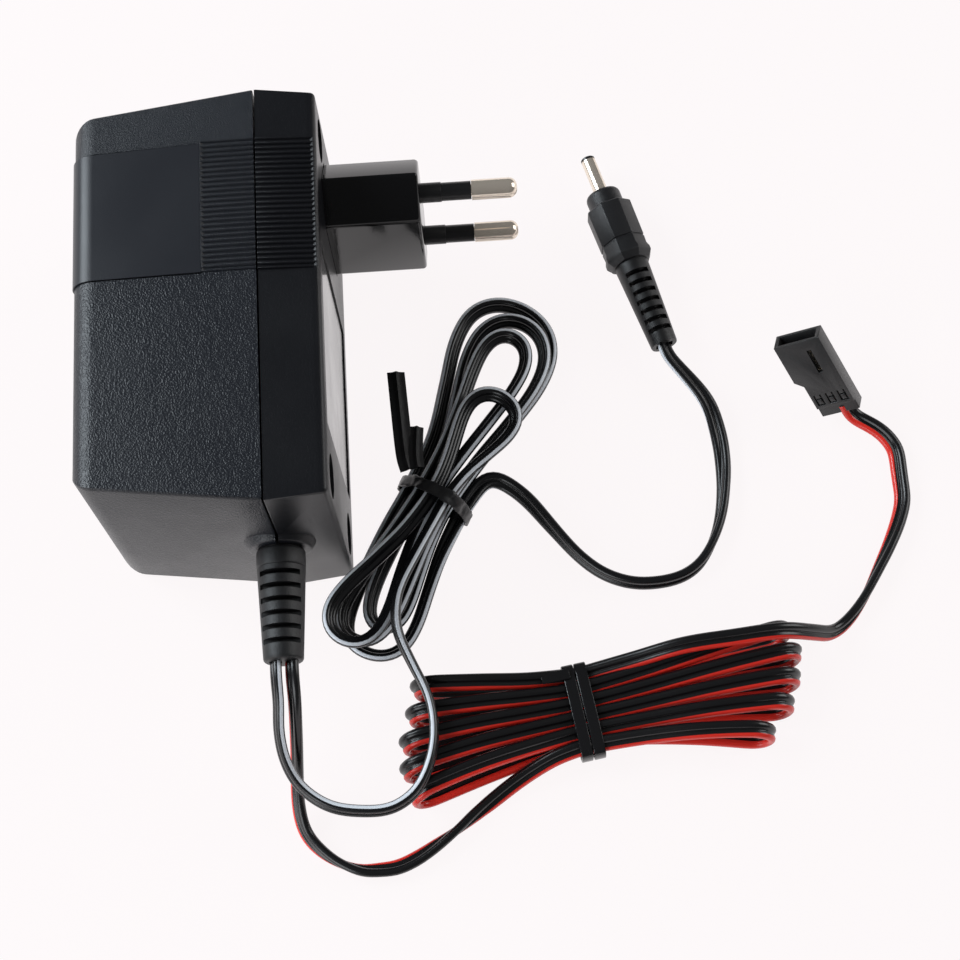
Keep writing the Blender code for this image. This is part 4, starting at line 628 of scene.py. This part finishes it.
def twin_flex(name, path, wide):
    """A twin flex along the path; wide points from one core to the other. U runs round its section."""
    tangent = unit(np.gradient(path, axis=0))
    wide = unit(wide - (wide * tangent).sum(1)[:, None] * tangent)
    rise = np.cross(wide, tangent)
    notch = math.acos(core_side / core_radius)
    turns = np.linspace(-math.pi + notch, math.pi - notch, 11)
    section = [(core_side + core_radius * math.cos(t), core_radius * math.sin(t)) for t in turns]
    section += [(-x, -y) for x, y in section]
    section = [point for number, point in enumerate(section) if number not in (10, 21)]
    around = len(section)
    verts = []
    for at, w, r in zip(path, wide, rise):
        verts += [tuple(at + x * w + y * r) for x, y in section]
    run, faces, uv = run_along(path), [], []
    for ring in range(len(path) - 1):
        here, there = ring * around, (ring + 1) * around
        for side in range(around):
            after = (side + 1) % around
            faces.append((here + side, here + after, there + after, there + side))
            low, high = side / around, (side + 1) / around
            uv += [(low, run[ring]), (high, run[ring]), (high, run[ring + 1]), (low, run[ring + 1])]
    last = (len(path) - 1) * around
    faces += [tuple(reversed(range(around))), tuple(range(last, last + around))]
    mesh = bpy.data.meshes.new(name)
    mesh.from_pydata(verts, [], faces)
    layer = mesh.uv_layers.new(name="round")
    uv += [(side / around, 0.0) for side in range(2 * around)]
    layer.data.foreach_set("uv", np.array(uv, np.float32).ravel())
    mesh.shade_smooth()
    obj = bpy.data.objects.new(name, mesh)
    bpy.context.scene.collection.objects.link(obj)
    return obj


def rolled(path, turns):
    """Directions across the flex, turned about its run: 0 lies to the right of the way it runs, 90 is upright."""
    tangent = np.gradient(path, axis=0)
    right = unit(np.cross(tangent, (0.0, 0.0, 1.0)))
    upright = unit(np.cross(right, tangent))
    share = np.linspace(0.0, 1.0, len(path))
    angle = np.radians(np.interp(share, *zip(*turns)))[:, None]
    return np.cos(angle) * right + np.sin(angle) * upright


def evened(values, reach):
    weights = np.hanning(2 * reach + 3)[1:-1]
    padded = np.pad(values, ((reach, reach), (0, 0)), mode="edge")
    return np.stack([np.convolve(padded[:, axis], weights / weights.sum(), "valid") for axis in range(3)], axis=1)


def kept_in_box(path, wide):
    """The path eased so that the flex stays on the table and inside the CAD model's box."""
    need = core_radius + core_side * np.abs(unit(wide)) + 0.00005
    low, high = (np.array(tuple(corner)) for corner in cad_box)
    return np.clip(path, low + need, high - need)


tie_lift, lift_spread, tie_run = 0.0011, 0.0110, 0.0024


def lift(along):
    return tie_lift * math.exp(-((along / lift_spread) ** 2))


# Lead A, black with a pale stripe, to the DC plug: its hank lies flat in three layers, the flex half on edge
hank_a_place, hank_a_turn, hank_a_pitch, hank_a_layer = (0.0203, -0.0250), math.radians(57.0), 0.00295, 0.0031
hank_a_passes = ((-1.5, 2), (-0.5, 2), (-0.5, 1), (0.5, 1), (-1.5, 1), (0.5, 0), (-1.5, 0), (1.5, 0), (-2.5, 0))
hank_a_drops, hank_a_height, lobe_steps = {1: (0.80, 0.17), 4: (0.42, 0.30)}, 0.00155, 12
hank_a_lobes = (
    (0.0246, -0.0116, -0.0010, 0.0008, 0.0),
    (0.0348, 0.0134, 0.0010, -0.0004, 0.0010),
    (0.0384, -0.0094, 0.0017, 0.0, -0.0024),
    (0.0332, 0.0076, -0.0007, 0.0002, 0.0023),
    (0.0422, -0.0165, 0.0042, -0.0010, 0.0),
    (0.0282, 0.0050, -0.0044, 0.0012, 0.0014),
    (0.0456, -0.0196, 0.0052, -0.0016, 0.0),
    (0.0338, 0.0070, -0.0063, 0.0035, 0.0036),
)
hank_a = []
for number, (reach, swell, lean, hook, bulb) in enumerate(hank_a_lobes):
    (start, layer), (end, next_layer) = hank_a_passes[number], hank_a_passes[number + 1]
    way = 1 if number % 2 == 0 else -1
    middle, half = hank_a_pitch * (start + end) / 2, hank_a_pitch * (start - end) / 2
    drop_start, drop_share = hank_a_drops.get(number, (0.0, 1.0))
    for step in range(lobe_steps):
        angle = math.pi * step / lobe_steps
        bulge = math.sin(angle) ** 2
        along = way * reach * math.sin(angle)
        side = half + swell * bulge + bulb * bulge**3
        across = middle + side * math.cos(angle) + lean * bulge + hook * bulge**3
        level = layer + (next_layer - layer) * ease((step / lobe_steps - drop_start) / drop_share)
        hank_a.append((along, across, hank_a_height + hank_a_layer * level + lift(along)))
hank_a = [(-tie_run, hank_a_passes[0][0] * hank_a_pitch, hank_a[0][2])] + hank_a
hank_a += [(along, hank_a_passes[-1][0] * hank_a_pitch, hank_a_height + tie_lift) for along in (0.0, tie_run)]
hank_a = [on_table(point, hank_a_place, hank_a_turn) for point in hank_a]

relief_exit_a, relief_exit_b = (-0.0086, -0.06375, 0.0269), (-0.0056, -0.06375, 0.0269)
near_a = [
    (-0.0086, -0.0600, 0.0269), (-0.0086, -0.0630, 0.0269), relief_exit_a, (-0.0086, -0.0662, 0.0268),
    (-0.0085, -0.0706, 0.0250), (-0.0090, -0.0752, 0.0210), (-0.0084, -0.0800, 0.0165), (-0.0059, -0.0844, 0.0130),
    (-0.0008, -0.0880, 0.0117), (0.0055, -0.0892, 0.0114), (0.0109, -0.0889, 0.0114), (0.0156, -0.0858, 0.0114),
    (0.0185, -0.0802, 0.0114), (0.0195, -0.0742, 0.0114), (0.0187, -0.0680, 0.0112), (0.0159, -0.0615, 0.0112),
    (0.0134, -0.0552, 0.0112), (0.0131, -0.0500, 0.0112), (0.0148, -0.0440, 0.0108),
]
far_a = [
    (0.0311, -0.0226, 0.0022), (0.0337, -0.0215, 0.0018), (0.0369, -0.0232, 0.0013), (0.0405, -0.0267, 0.0013),
    (0.0448, -0.0326, 0.0013), (0.0496, -0.0388, 0.0013), (0.0543, -0.0429, 0.0013), (0.0595, -0.0451, 0.0013),
    (0.0645, -0.0455, 0.0013), (0.0695, -0.0447, 0.0013), (0.0733, -0.0425, 0.0013), (0.0760, -0.0389, 0.0013),
    (0.0781, -0.0344, 0.0013), (0.0795, -0.0290, 0.0013), (0.0803, -0.0215, 0.0014), (0.0798, -0.0145, 0.0022),
    (0.0777, -0.0075, 0.0036),
]
dc_cord, dc_tip = Vector((0.0705, 0.0038, 0.00495)), Vector((0.0576, 0.0486, 0.00495))
dc_axis = (dc_tip - dc_cord).normalized()
far_a += [tuple(dc_cord + dc_axis * step) for step in (-0.0024, 0.0, 0.0030)]

flex_step, roll_reach, path_reach = 0.0009, 6, 3
counts = [len(smooth_route(part, flex_step)) for part in (near_a + hank_a[:1], hank_a, hank_a[-1:] + far_a)]
path_a = smooth_route(near_a + hank_a + far_a, flex_step)
hank_start, hank_end, _ = np.cumsum(counts) / sum(counts)
rolls_a = [(share * hank_start, roll) for share, roll in ((0.0, 112), (0.12, 112), (0.40, 100), (0.60, 92))]
rolls_a += [(0.75 * hank_start, 78), (0.90 * hank_start, 60), (hank_start + 0.03, 50), (hank_end - 0.02, 50)]
rolls_a += [(hank_end + 0.015, -30), (hank_end + 0.035, -70)]
rolls_a += [(1.0 - left, roll) for left, roll in ((0.065, -75), (0.042, -125), (0.024, -190), (0.0, -228))]
wide_a = rolled(path_a, rolls_a)
wide_a = evened(wide_a, roll_reach)
path_a = evened(kept_in_box(path_a, wide_a), path_reach)
lead_a = twin_flex("lead_a", path_a, wide_a)


def cord_material(name, ground, mark, mark_at, mark_half):
    """Soft PVC with a coloured mark along it, placed round the section by the flex's own map."""
    material, tree, shader = blank(name)
    shader.inputs["Roughness"].default_value = 0.26
    shader.inputs["Specular IOR Level"].default_value = 0.55
    split = put(tree, "ShaderNodeSeparateXYZ", put(tree, "ShaderNodeUVMap", uv_map="round").outputs["UV"])
    off = put(tree, "ShaderNodeMath", split.outputs["X"], mark_at, operation="SUBTRACT")
    away = put(tree, "ShaderNodeMath", off.outputs[0], operation="ABSOLUTE").outputs[0]
    low, high = mark_half - 0.008, mark_half + 0.008
    band = put(tree, "ShaderNodeMapRange", away, low, high, 1.0, 0.0, interpolation_type="SMOOTHSTEP")
    mix = put(tree, "ShaderNodeMix", band.outputs["Result"], data_type="RGBA")
    mix.inputs[6].default_value, mix.inputs[7].default_value = (*ground, 1.0), (*mark, 1.0)
    tree.links.new(mix.outputs[2], shader.inputs["Base Color"])
    return material


striped = cord_material("lead_a_striped", (0.0060, 0.0062, 0.0075), (0.80, 0.84, 0.90), 0.268, 0.036)
lead_a.data.materials.append(striped)
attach(lead_a, "root")
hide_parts("lead_a_near", "lead_a_hank", "lead_a_far")

# Lead B, one core black and one red, to the servo connector: its hank is a row of upright folds
hank_b_place, hank_b_turn = (0.0481, -0.0712), math.radians(8.9)
hank_b_waist, hank_b_ends, hank_b_fold, hank_b_rise = 0.0028, (0.0048, 0.0052), 0.0036, 0.0029
hank_b_height = 0.0012
hank_b_right = (0.0345, 0.0395, 0.0420, 0.0435, 0.0425)
hank_b_left = (0.0356, 0.0362, 0.0353, 0.0330, 0.0310)
right_shift, left_shift = -0.20, 0.25
lanes = len(hank_b_right)
track = [(-tie_run, 1.0, 0.0, hank_b_right[0])]
for loop, reaches in enumerate(zip(hank_b_right, hank_b_left)):
    for way, reach, start, shift in ((1, reaches[0], loop, right_shift), (-1, reaches[1], loop + 0.5, left_shift)):
        flat = reach - hank_b_fold
        track += [(way * flat * step / 3, way, start, reach) for step in range(3)]
        for step in range(7):
            angle = math.pi * (0.5 - step / 6)
            along = way * (flat + hank_b_fold * math.cos(angle))
            track.append((along, way * math.sin(angle), start + shift * step / 6, reach))
        for share in (1 / 3, 2 / 3):
            track.append((way * flat * (1 - share), -way, start + shift + (0.5 - shift) * share, reach))
track += [(along, 1.0, lanes, hank_b_right[-1]) for along in (0.0, tie_run)]
hank_b = []
for along, side, progress, reach in track:
    share = ease(abs(along) / (0.6 * reach))
    rise = hank_b_rise + (2 * hank_b_fold - hank_b_rise) * share
    end_pitch = hank_b_ends[0] if along > 0 else hank_b_ends[1]
    pitch = hank_b_waist + (end_pitch - hank_b_waist) * min(abs(along) / reach, 1.0) ** 1.5
    point = (along, (progress - lanes / 2) * pitch, hank_b_height + lift(along) + rise * (1 + side) / 2)
    hank_b.append(on_table(point, hank_b_place, hank_b_turn))
near_b = [
    (-0.0056, -0.0600, 0.0269), (-0.0056, -0.0630, 0.0269), relief_exit_b, (-0.0056, -0.0662, 0.0267),
    (-0.0056, -0.0702, 0.0240), (-0.0063, -0.0757, 0.0165), (-0.0071, -0.0806, 0.0095), (-0.0076, -0.0850, 0.0048),
    (-0.0071, -0.0896, 0.0022), (-0.0051, -0.0932, 0.0013), (-0.0003, -0.0971, 0.0013), (0.0064, -0.0992, 0.0013),
    (0.0131, -0.0977, 0.0013), (0.0211, -0.0931, 0.0013), (0.0273, -0.0886, 0.0014), (0.0347, -0.0836, 0.0024),
    (0.0415, -0.0802, 0.0044),
]
far_b = [
    (0.0587, -0.0624, 0.0080), (0.0682, -0.0610, 0.0112), (0.0783, -0.0602, 0.0118), (0.0872, -0.0594, 0.0114),
    (0.0937, -0.0590, 0.0070), (0.0982, -0.0582, 0.0026), (0.1022, -0.0552, 0.0013), (0.1057, -0.0508, 0.0013),
    (0.1087, -0.0458, 0.0013), (0.1117, -0.0406, 0.0013), (0.1143, -0.0352, 0.0013), (0.1159, -0.0300, 0.0013),
    (0.1163, -0.0250, 0.0013), (0.1153, -0.0202, 0.0014), (0.1125, -0.0164, 0.0020),
]
servo_place = Matrix.Translation((0.1052, -0.0100, 0.0024)) @ Euler(
    (math.radians(61.0), math.radians(-32.0), math.radians(-1.6))
).to_matrix().to_4x4()
far_b += [tuple(servo_place @ Vector((0.00202, y, 0.0019))) for y in (-0.0027, 0.0, 0.0020)]
parts_b = [smooth_route(part, flex_step) for part in (near_b + hank_b[:1], hank_b, hank_b[-1:] + far_b)]
across_b = np.array((math.sin(hank_b_turn), -math.cos(hank_b_turn), 0.0))
along_b = (parts_b[1][:, :2] - hank_b_place) @ (math.cos(hank_b_turn), math.sin(hank_b_turn))
# The flexes lie like fallen cards, the red core low
slope = np.radians(np.interp(np.abs(along_b), (0.0, 0.010, 0.030), (40, 38, 22)))[:, None]
below = unit(np.cross(np.gradient(parts_b[1], axis=0), across_b))
near_rolls = [(0.0, -55), (0.42, -52), (0.50, -95), (0.57, -145), (0.65, -148), (0.73, -95), (0.81, -42), (1.0, -40)]
far_rolls = [(0.0, -40), (0.30, -28), (0.45, -48), (0.58, -92), (0.70, -138), (0.85, -165), (1.0, -180)]
hank_wide = np.cos(slope) * across_b + np.sin(slope) * below
wide_b = np.vstack([rolled(parts_b[0], near_rolls), hank_wide, rolled(parts_b[2], far_rolls)])
path_b = np.vstack(parts_b)
keep = np.r_[True, np.diff(run_along(path_b)) > 1e-6]
path_b, wide_b = path_b[keep], evened(wide_b[keep], roll_reach)
path_b = evened(kept_in_box(path_b, wide_b), path_reach)
lead_b = twin_flex("lead_b", path_b, wide_b)
two_colour = cord_material("lead_b_two_colour", (0.0060, 0.0060, 0.0068), (0.80, 0.030, 0.018), 0.25, 0.16)
lead_b.data.materials.append(two_colour)
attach(lead_b, "root")
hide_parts("lead_b_near", "lead_b_hank", "lead_b_far")


# Tie on hank B: glossy black plastic strip wound twice round the waist and drawn tight, its cut end left standing
# out over the loops.
def soften(obj, width, angle):
    """Takes the sharpness off every edge that turns by more than the angle."""
    soft = obj.modifiers.new("soft", "BEVEL")
    soft.width, soft.segments, soft.limit_method, soft.angle_limit = width, 2, "ANGLE", math.radians(angle)
    apply_modifier(obj, soft)


def thicken(obj, thick):
    solid = obj.modifiers.new("thickness", "SOLIDIFY")
    solid.thickness, solid.offset = thick, 0.0
    apply_modifier(obj, solid)


def strap(name, corners, wide, thick, at):
    """A flat band bent round the corners (place across, height), at its place along the hank."""
    ring = np.array(corners)
    for _ in range(3):
        after = np.roll(ring, -1, axis=0)
        ring = np.stack([0.75 * ring + 0.25 * after, 0.25 * ring + 0.75 * after], axis=1).reshape(-1, 2)
    bpy.ops.mesh.primitive_circle_add(vertices=len(ring), radius=0.01)
    band = named(name)
    for vert, (across, height) in zip(band.data.vertices, ring):
        vert.co = (at - wide / 2, across, height)
    open_piece(band)
    bpy.ops.mesh.select_all(action="SELECT")
    for _ in range(4):
        draw_out(wide / 4, 0.0, 0.0)
    face_outward()
    thicken(band, thick)
    soften(band, thick * 0.35, 40)
    return band


hank_b_frame = Matrix.Translation((*hank_b_place, 0.0)) @ Matrix.Rotation(hank_b_turn, 4, "Z")
tie_thick = 0.0006
waist_b = [(-0.0090, 0.0012), (0.0090, 0.0012), (0.0094, 0.0042)]
waist_b += [(0.0086, 0.0070), (-0.0086, 0.0072), (-0.0094, 0.0042)]
strip_gloss = moulded("tie_gloss_black", (0.0080, 0.0080, 0.0090), 0.10, 0.22, 900.0, 2600.0, 0.0, 0.00002)
tie_b = strap("tie_b_strip", waist_b, 0.0023, tie_thick, -0.0012)
second_turn = strap("tie_b_second", waist_b, 0.0023, tie_thick, 0.0013)
end_strip = box("tie_b_end", (-0.0066, 0.0062, 0.0070), (-0.0010, 0.0083, 0.0075))
round_edges(end_strip, 0.0002, 2, lambda a, b: True)
join(tie_b, second_turn)
join(tie_b, end_strip)
settle(tie_b, hank_b_frame, strip_gloss, "soft_black", "tie_b", angle=40)


# Tie on hank A: a paper-cored twist tie in soft black plastic, wound round the waist and twisted, one end left as a
# long flat tail with the wire as a ridge down its middle.
hank_a_frame = Matrix.Translation((*hank_a_place, 0.0)) @ Matrix.Rotation(hank_a_turn, 4, "Z")
waist_a = [
    (-0.0092, 0.0010), (0.0062, 0.0010), (0.0066, 0.0040), (0.0030, 0.0090), (0.0002, 0.0112), (-0.0062, 0.0114),
    (-0.0080, 0.0070), (-0.0096, 0.0040),
]
crumple = bpy.data.textures.new("crumple", "CLOUDS")
crumple.noise_scale, crumple.noise_depth = 0.0022, 2
tie_a = strap("tie_a_band", waist_a, 0.0026, tie_thick, 0.0)
bend = tie_a.modifiers.new("crumple", "DISPLACE")
bend.texture, bend.strength, bend.mid_level = crumple, 0.0012, 0.5
apply_modifier(tie_a, bend)
twist_black = moulded("twist_tie_black", (0.0080, 0.0080, 0.0090), 0.22, 0.34, 1300.0, 4200.0, 0.3, 0.00006)
settle(tie_a, hank_a_frame, twist_black, "soft_black", "tie_a", angle=40)


def twist_end(name, route, wide):
    """A flat end of the tie along its route, ridged down the middle over its wire."""
    line = smooth_route(route, 0.0006)
    bpy.ops.mesh.primitive_grid_add(x_subdivisions=10, y_subdivisions=len(line) - 1, size=1.0)
    strip = named(name)
    tangent = np.gradient(line, axis=0)
    for vert in strip.data.vertices:
        share, along = vert.co.x * 2, round((vert.co.y + 0.5) * (len(line) - 1))
        run = Vector(tangent[along]).normalized()
        side = run.cross(Vector((0.15, 0.0, 1.0))).normalized()
        ridge = 0.00030 * math.exp(-((share / 0.20) ** 2)) - 0.00022 * abs(share)
        vert.co = Vector(line[along]) + side * (share * wide / 2) + side.cross(run) * ridge
    thicken(strip, 0.00035)
    return strip


long_route = [(0.0170, -0.0215, 0.0106), (0.0164, -0.0190, 0.0104), (0.0160, -0.0150, 0.0095)]
long_route += [(0.0155, -0.0070, 0.0079), (0.0150, 0.0014, 0.0062)]
short_route = [(0.0187, -0.0212, 0.0108), (0.0185, -0.0185, 0.0102), (0.0186, -0.0150, 0.0092)]
short_route += [(0.0188, -0.0116, 0.0082)]
tail = twist_end("tie_a_end", long_route, 0.0036)
short_end = twist_end("tie_a_short", short_route, 0.0028)
only(tail)
short_end.select_set(True)
bpy.ops.object.join()
settle(tail, Matrix.Identity(4), twist_black, "soft_black", "tie_a_tail", angle=40)


# DC plug on lead A: an eight-sided housing in hard black plastic with a waist and a flared ring at its back, a soft
# slotted boot moulded on to the flex, and a nickel barrel with a black insulator and a centre contact.
dc_frame = Matrix.Translation(dc_cord) @ dc_axis.to_track_quat("Z", "X").to_matrix().to_4x4()


def turned(name, profile, sides, turn=0.0):
    """A form round Z drawn up through each (radius, height) of its profile."""
    radius, low = profile[0]
    place, spin = (0.0, 0.0, low), (0.0, 0.0, turn)
    bpy.ops.mesh.primitive_circle_add(vertices=sides, radius=radius, fill_type="NGON", location=place, rotation=spin)
    obj = named(name)
    open_piece(obj)
    bpy.ops.mesh.select_all(action="SELECT")
    for (radius, low), (next_radius, high) in zip(profile, profile[1:]):
        draw_out(0.0, 0.0, high - low)
        grow = next_radius / radius
        resize((0.0, 0.0, high), grow, grow, 1.0)
    face_outward()
    return obj


flats = 1 / math.cos(math.pi / 8)
housing_steps = [
    (0.00395, 0.0196), (0.00415, 0.0200), (0.00480, 0.0209), (0.00480, 0.0217), (0.00448, 0.0227), (0.00456, 0.0243),
    (0.00436, 0.02435), (0.00436, 0.0247), (0.00460, 0.02475), (0.00470, 0.0330), (0.00440, 0.0333),
]
housing = turned("dc_housing_moulding", [(radius * flats, height) for radius, height in housing_steps], 8, math.pi / 8)
nose_steps = [(0.0037, 0.0325), (0.0037, 0.0362), (0.0036, 0.0366)]
nose_steps += [(0.0034, 0.0369), (0.0030, 0.0371), (0.0026, 0.0372)]
join(housing, turned("nose", nose_steps, 40))
cut(housing, rod("barrel_seat", 0.00153, (0.0, 0.0, 0.0250), (0.0, 0.0, 0.0400), 32))
soften(housing, 0.00012, 30)
dc_black = moulded("dc_housing_black", (0.0100, 0.0100, 0.0112), 0.40, 0.50, 2200.0, 6500.0, 0.0, 0.00004)
settle(housing, dc_frame, dc_black, "soft_black", "dc_housing")

boot = turned("dc_boot_moulding", [(0.0027, 0.0003), (0.0028, 0.0006), (0.0036, 0.0193), (0.0035, 0.0197)], 40)
for number in range(7):
    height = 0.0033 + 0.0022 * number
    for side, (low, high) in zip((1, -1), both_sides(0.0012, 0.0060)):
        cut(boot, box("slot", (low, -0.0024, height - 0.0005), (high, 0.0024, height + 0.0005)))
        middle = side * (0.00125 + 0.00003 * number)
        low, high = middle - 0.00042, middle + 0.00042
        cut(boot, box("hole", (-0.0050, low, height - 0.0004), (0.0050, high, height + 0.0004)))
cut(boot, box("flex_hole", (-0.00095, -0.0018, -0.0010), (0.00095, 0.0018, 0.0060)))
boot_black = moulded("boot_black", (0.0055, 0.0055, 0.0062), 0.36, 0.48, 2200.0, 6500.0, 0.1, 0.00004)
settle(boot, dc_frame, boot_black, "soft_black", "dc_boot")

barrel_steps = [(0.0015, 0.0312), (0.0015, 0.0453), (0.00143, 0.0454)]
insulator_steps = [(0.00123, 0.0312), (0.00123, 0.0454), (0.0015, 0.04542), (0.0015, 0.0458), (0.0013, 0.0460)]
contact_steps = [(0.00078, 0.0312), (0.00078, 0.0449), (0.00070, 0.0450)]
for name, steps, sides, bore, bore_sides, finish, slot in (
    ("barrel", barrel_steps, 48, 0.00125, 32, nickel, "nickel"),
    ("insulator", insulator_steps, 48, 0.0008, 32, wire_black, "component_black"),
    ("contact", contact_steps, 32, 0.00055, 24, nickel, "nickel"),
):
    tube = turned(f"dc_{name}_tube", steps, sides)
    cut(tube, rod("bore", bore, (0.0, 0.0, 0.0300), (0.0, 0.0, 0.0470), bore_sides))
    settle(tube, dc_frame, finish, slot, f"dc_{name}")


# Servo connector on lead B: a flat housing in black plastic, open at the front, with a key step at the back corner,
# a slot and three contact windows in its face and a dropped lip where the flex goes in.
connector = box("servo_housing_moulding", (-0.00485, 0.0, 0.0), (0.00485, 0.0203, 0.0038))
step_tool = box("key_step", (-0.0070, -0.0020, -0.0020), (-0.00335, 0.0105, 0.0060))
pick_edges(step_tool, lambda a, b: min(a.x, b.x) > -0.0034 and min(a.y, b.y) > 0.0104)
bpy.ops.mesh.bevel(offset=0.0015, segments=1, affect="EDGES")
close_piece()
cut(connector, step_tool)
cut(connector, box("lip_drop", (-0.0060, -0.0020, 0.0032), (0.0060, 0.0026, 0.0060)))
contact_pitch, contact_middle = 0.00254, 0.00075
for x in (contact_middle - contact_pitch, contact_middle, contact_middle + contact_pitch):
    window = box("window", (x - 0.0008, 0.0034, 0.0034), (x + 0.0008, 0.0062, 0.0060))
    cut(window, box("latch", (x - 0.00048, 0.00375, 0.0030), (x + 0.00048, 0.0050, 0.0070)))
    cut(window, box("bridge", (x - 0.00048, 0.0053, 0.0030), (x + 0.00048, 0.0072, 0.0070)))
    cut(connector, window)
    cut(connector, box("channel", (x - 0.0009, -0.0020, 0.0010), (x + 0.0009, 0.0130, 0.0028)))
cut(connector, box("cavity", (-0.00395, 0.0113, 0.0006), (0.00395, 0.0230, 0.0032)))
cut(connector, box("face_slot", (0.00115, 0.0117, 0.0020), (0.00205, 0.0177, 0.0060)))
soften(connector, 0.00013, 40)
servo_black = moulded("servo_black", (0.0110, 0.0110, 0.0118), 0.30, 0.40, 2200.0, 6500.0, 0.0, 0.00004)
settle(connector, servo_place, servo_black, "component_black", "servo_housing")
dress(nickel, "servo_contact_1", "servo_contact_2", "servo_contact_3")


# Stage: a wide sheet of pale paper under soft lamps, one behind on the left and two weaker ones to the right and in
# front, and the camera where the photograph was taken from.
bpy.ops.mesh.primitive_plane_add(size=16.0, location=(0.03, -0.02, -0.0001))
floor = bpy.context.object
floor.name = "floor"
paper, tree, shader = blank("pale_paper")
shader.inputs["Base Color"].default_value = (0.93, 0.91, 0.912, 1.0)
shader.inputs["Roughness"].default_value = 0.9
shader.inputs["Specular IOR Level"].default_value = 0.1
glow = put(tree, "ShaderNodeEmission", Color=(1.0, 0.960, 0.966, 1.0), Strength=1.0)
ray = put(tree, "ShaderNodeLightPath").outputs
direct = put(tree, "ShaderNodeMath", ray["Is Camera Ray"], ray["Is Glossy Ray"], operation="MAXIMUM")
seen = put(tree, "ShaderNodeMath", direct.outputs[0], ray["Is Transmission Ray"], operation="MAXIMUM")
share = put(tree, "ShaderNodeMath", seen.outputs[0], 0.94, operation="MULTIPLY")
blend = put(tree, "ShaderNodeMixShader", share.outputs[0], shader.outputs[0], glow.outputs[0])
tree.links.new(blend.outputs[0], tree.nodes["Material Output"].inputs["Surface"])
floor.data.materials.append(paper)

world = bpy.data.worlds.new("studio")
bpy.context.scene.world = world
world.use_nodes = True
world.node_tree.nodes["Background"].inputs["Color"].default_value = (1.0, 1.0, 1.0, 1.0)
world.node_tree.nodes["Background"].inputs["Strength"].default_value = 0.11
aim = Vector((0.03, -0.02, 0.01))
for name, place, size, power, tint in (
    ("back_left_softbox", (-0.62, 0.22, 0.50), 0.50, 6.8, (0.86, 0.94, 1.0)),
    ("right_softbox", (0.78, 0.18, 0.42), 0.55, 2.9, (1.0, 1.0, 1.0)),
    ("front_softbox", (-0.58, -0.64, 0.38), 0.60, 3.8, (0.94, 0.97, 1.0)),
):
    lamp_data = bpy.data.lights.new(name, "AREA")
    lamp_data.shape, lamp_data.size, lamp_data.energy, lamp_data.color = "SQUARE", size, power, tint
    lamp = bpy.data.objects.new(name, lamp_data)
    bpy.context.scene.collection.objects.link(lamp)
    lamp.location = place
    lamp.rotation_euler = (aim - Vector(place)).to_track_quat("-Z", "Y").to_euler()

camera_data = bpy.data.cameras.new("photo_camera")
camera = bpy.data.objects.new("photo_camera", camera_data)
bpy.context.scene.collection.objects.link(camera)
camera_data.lens, camera_data.sensor_width, camera_data.sensor_fit = 76.42, 36.0, "HORIZONTAL"
turn = Matrix.Rotation(math.radians(1.89), 4, "Z") @ Matrix.Rotation(math.radians(19.27), 4, "X")
camera.matrix_world = (
    Matrix.Translation((0.03536, -0.15806, 0.39247)) @ turn @ Matrix.Rotation(math.radians(-5.45), 4, "Z")
)
bpy.context.scene.camera = camera
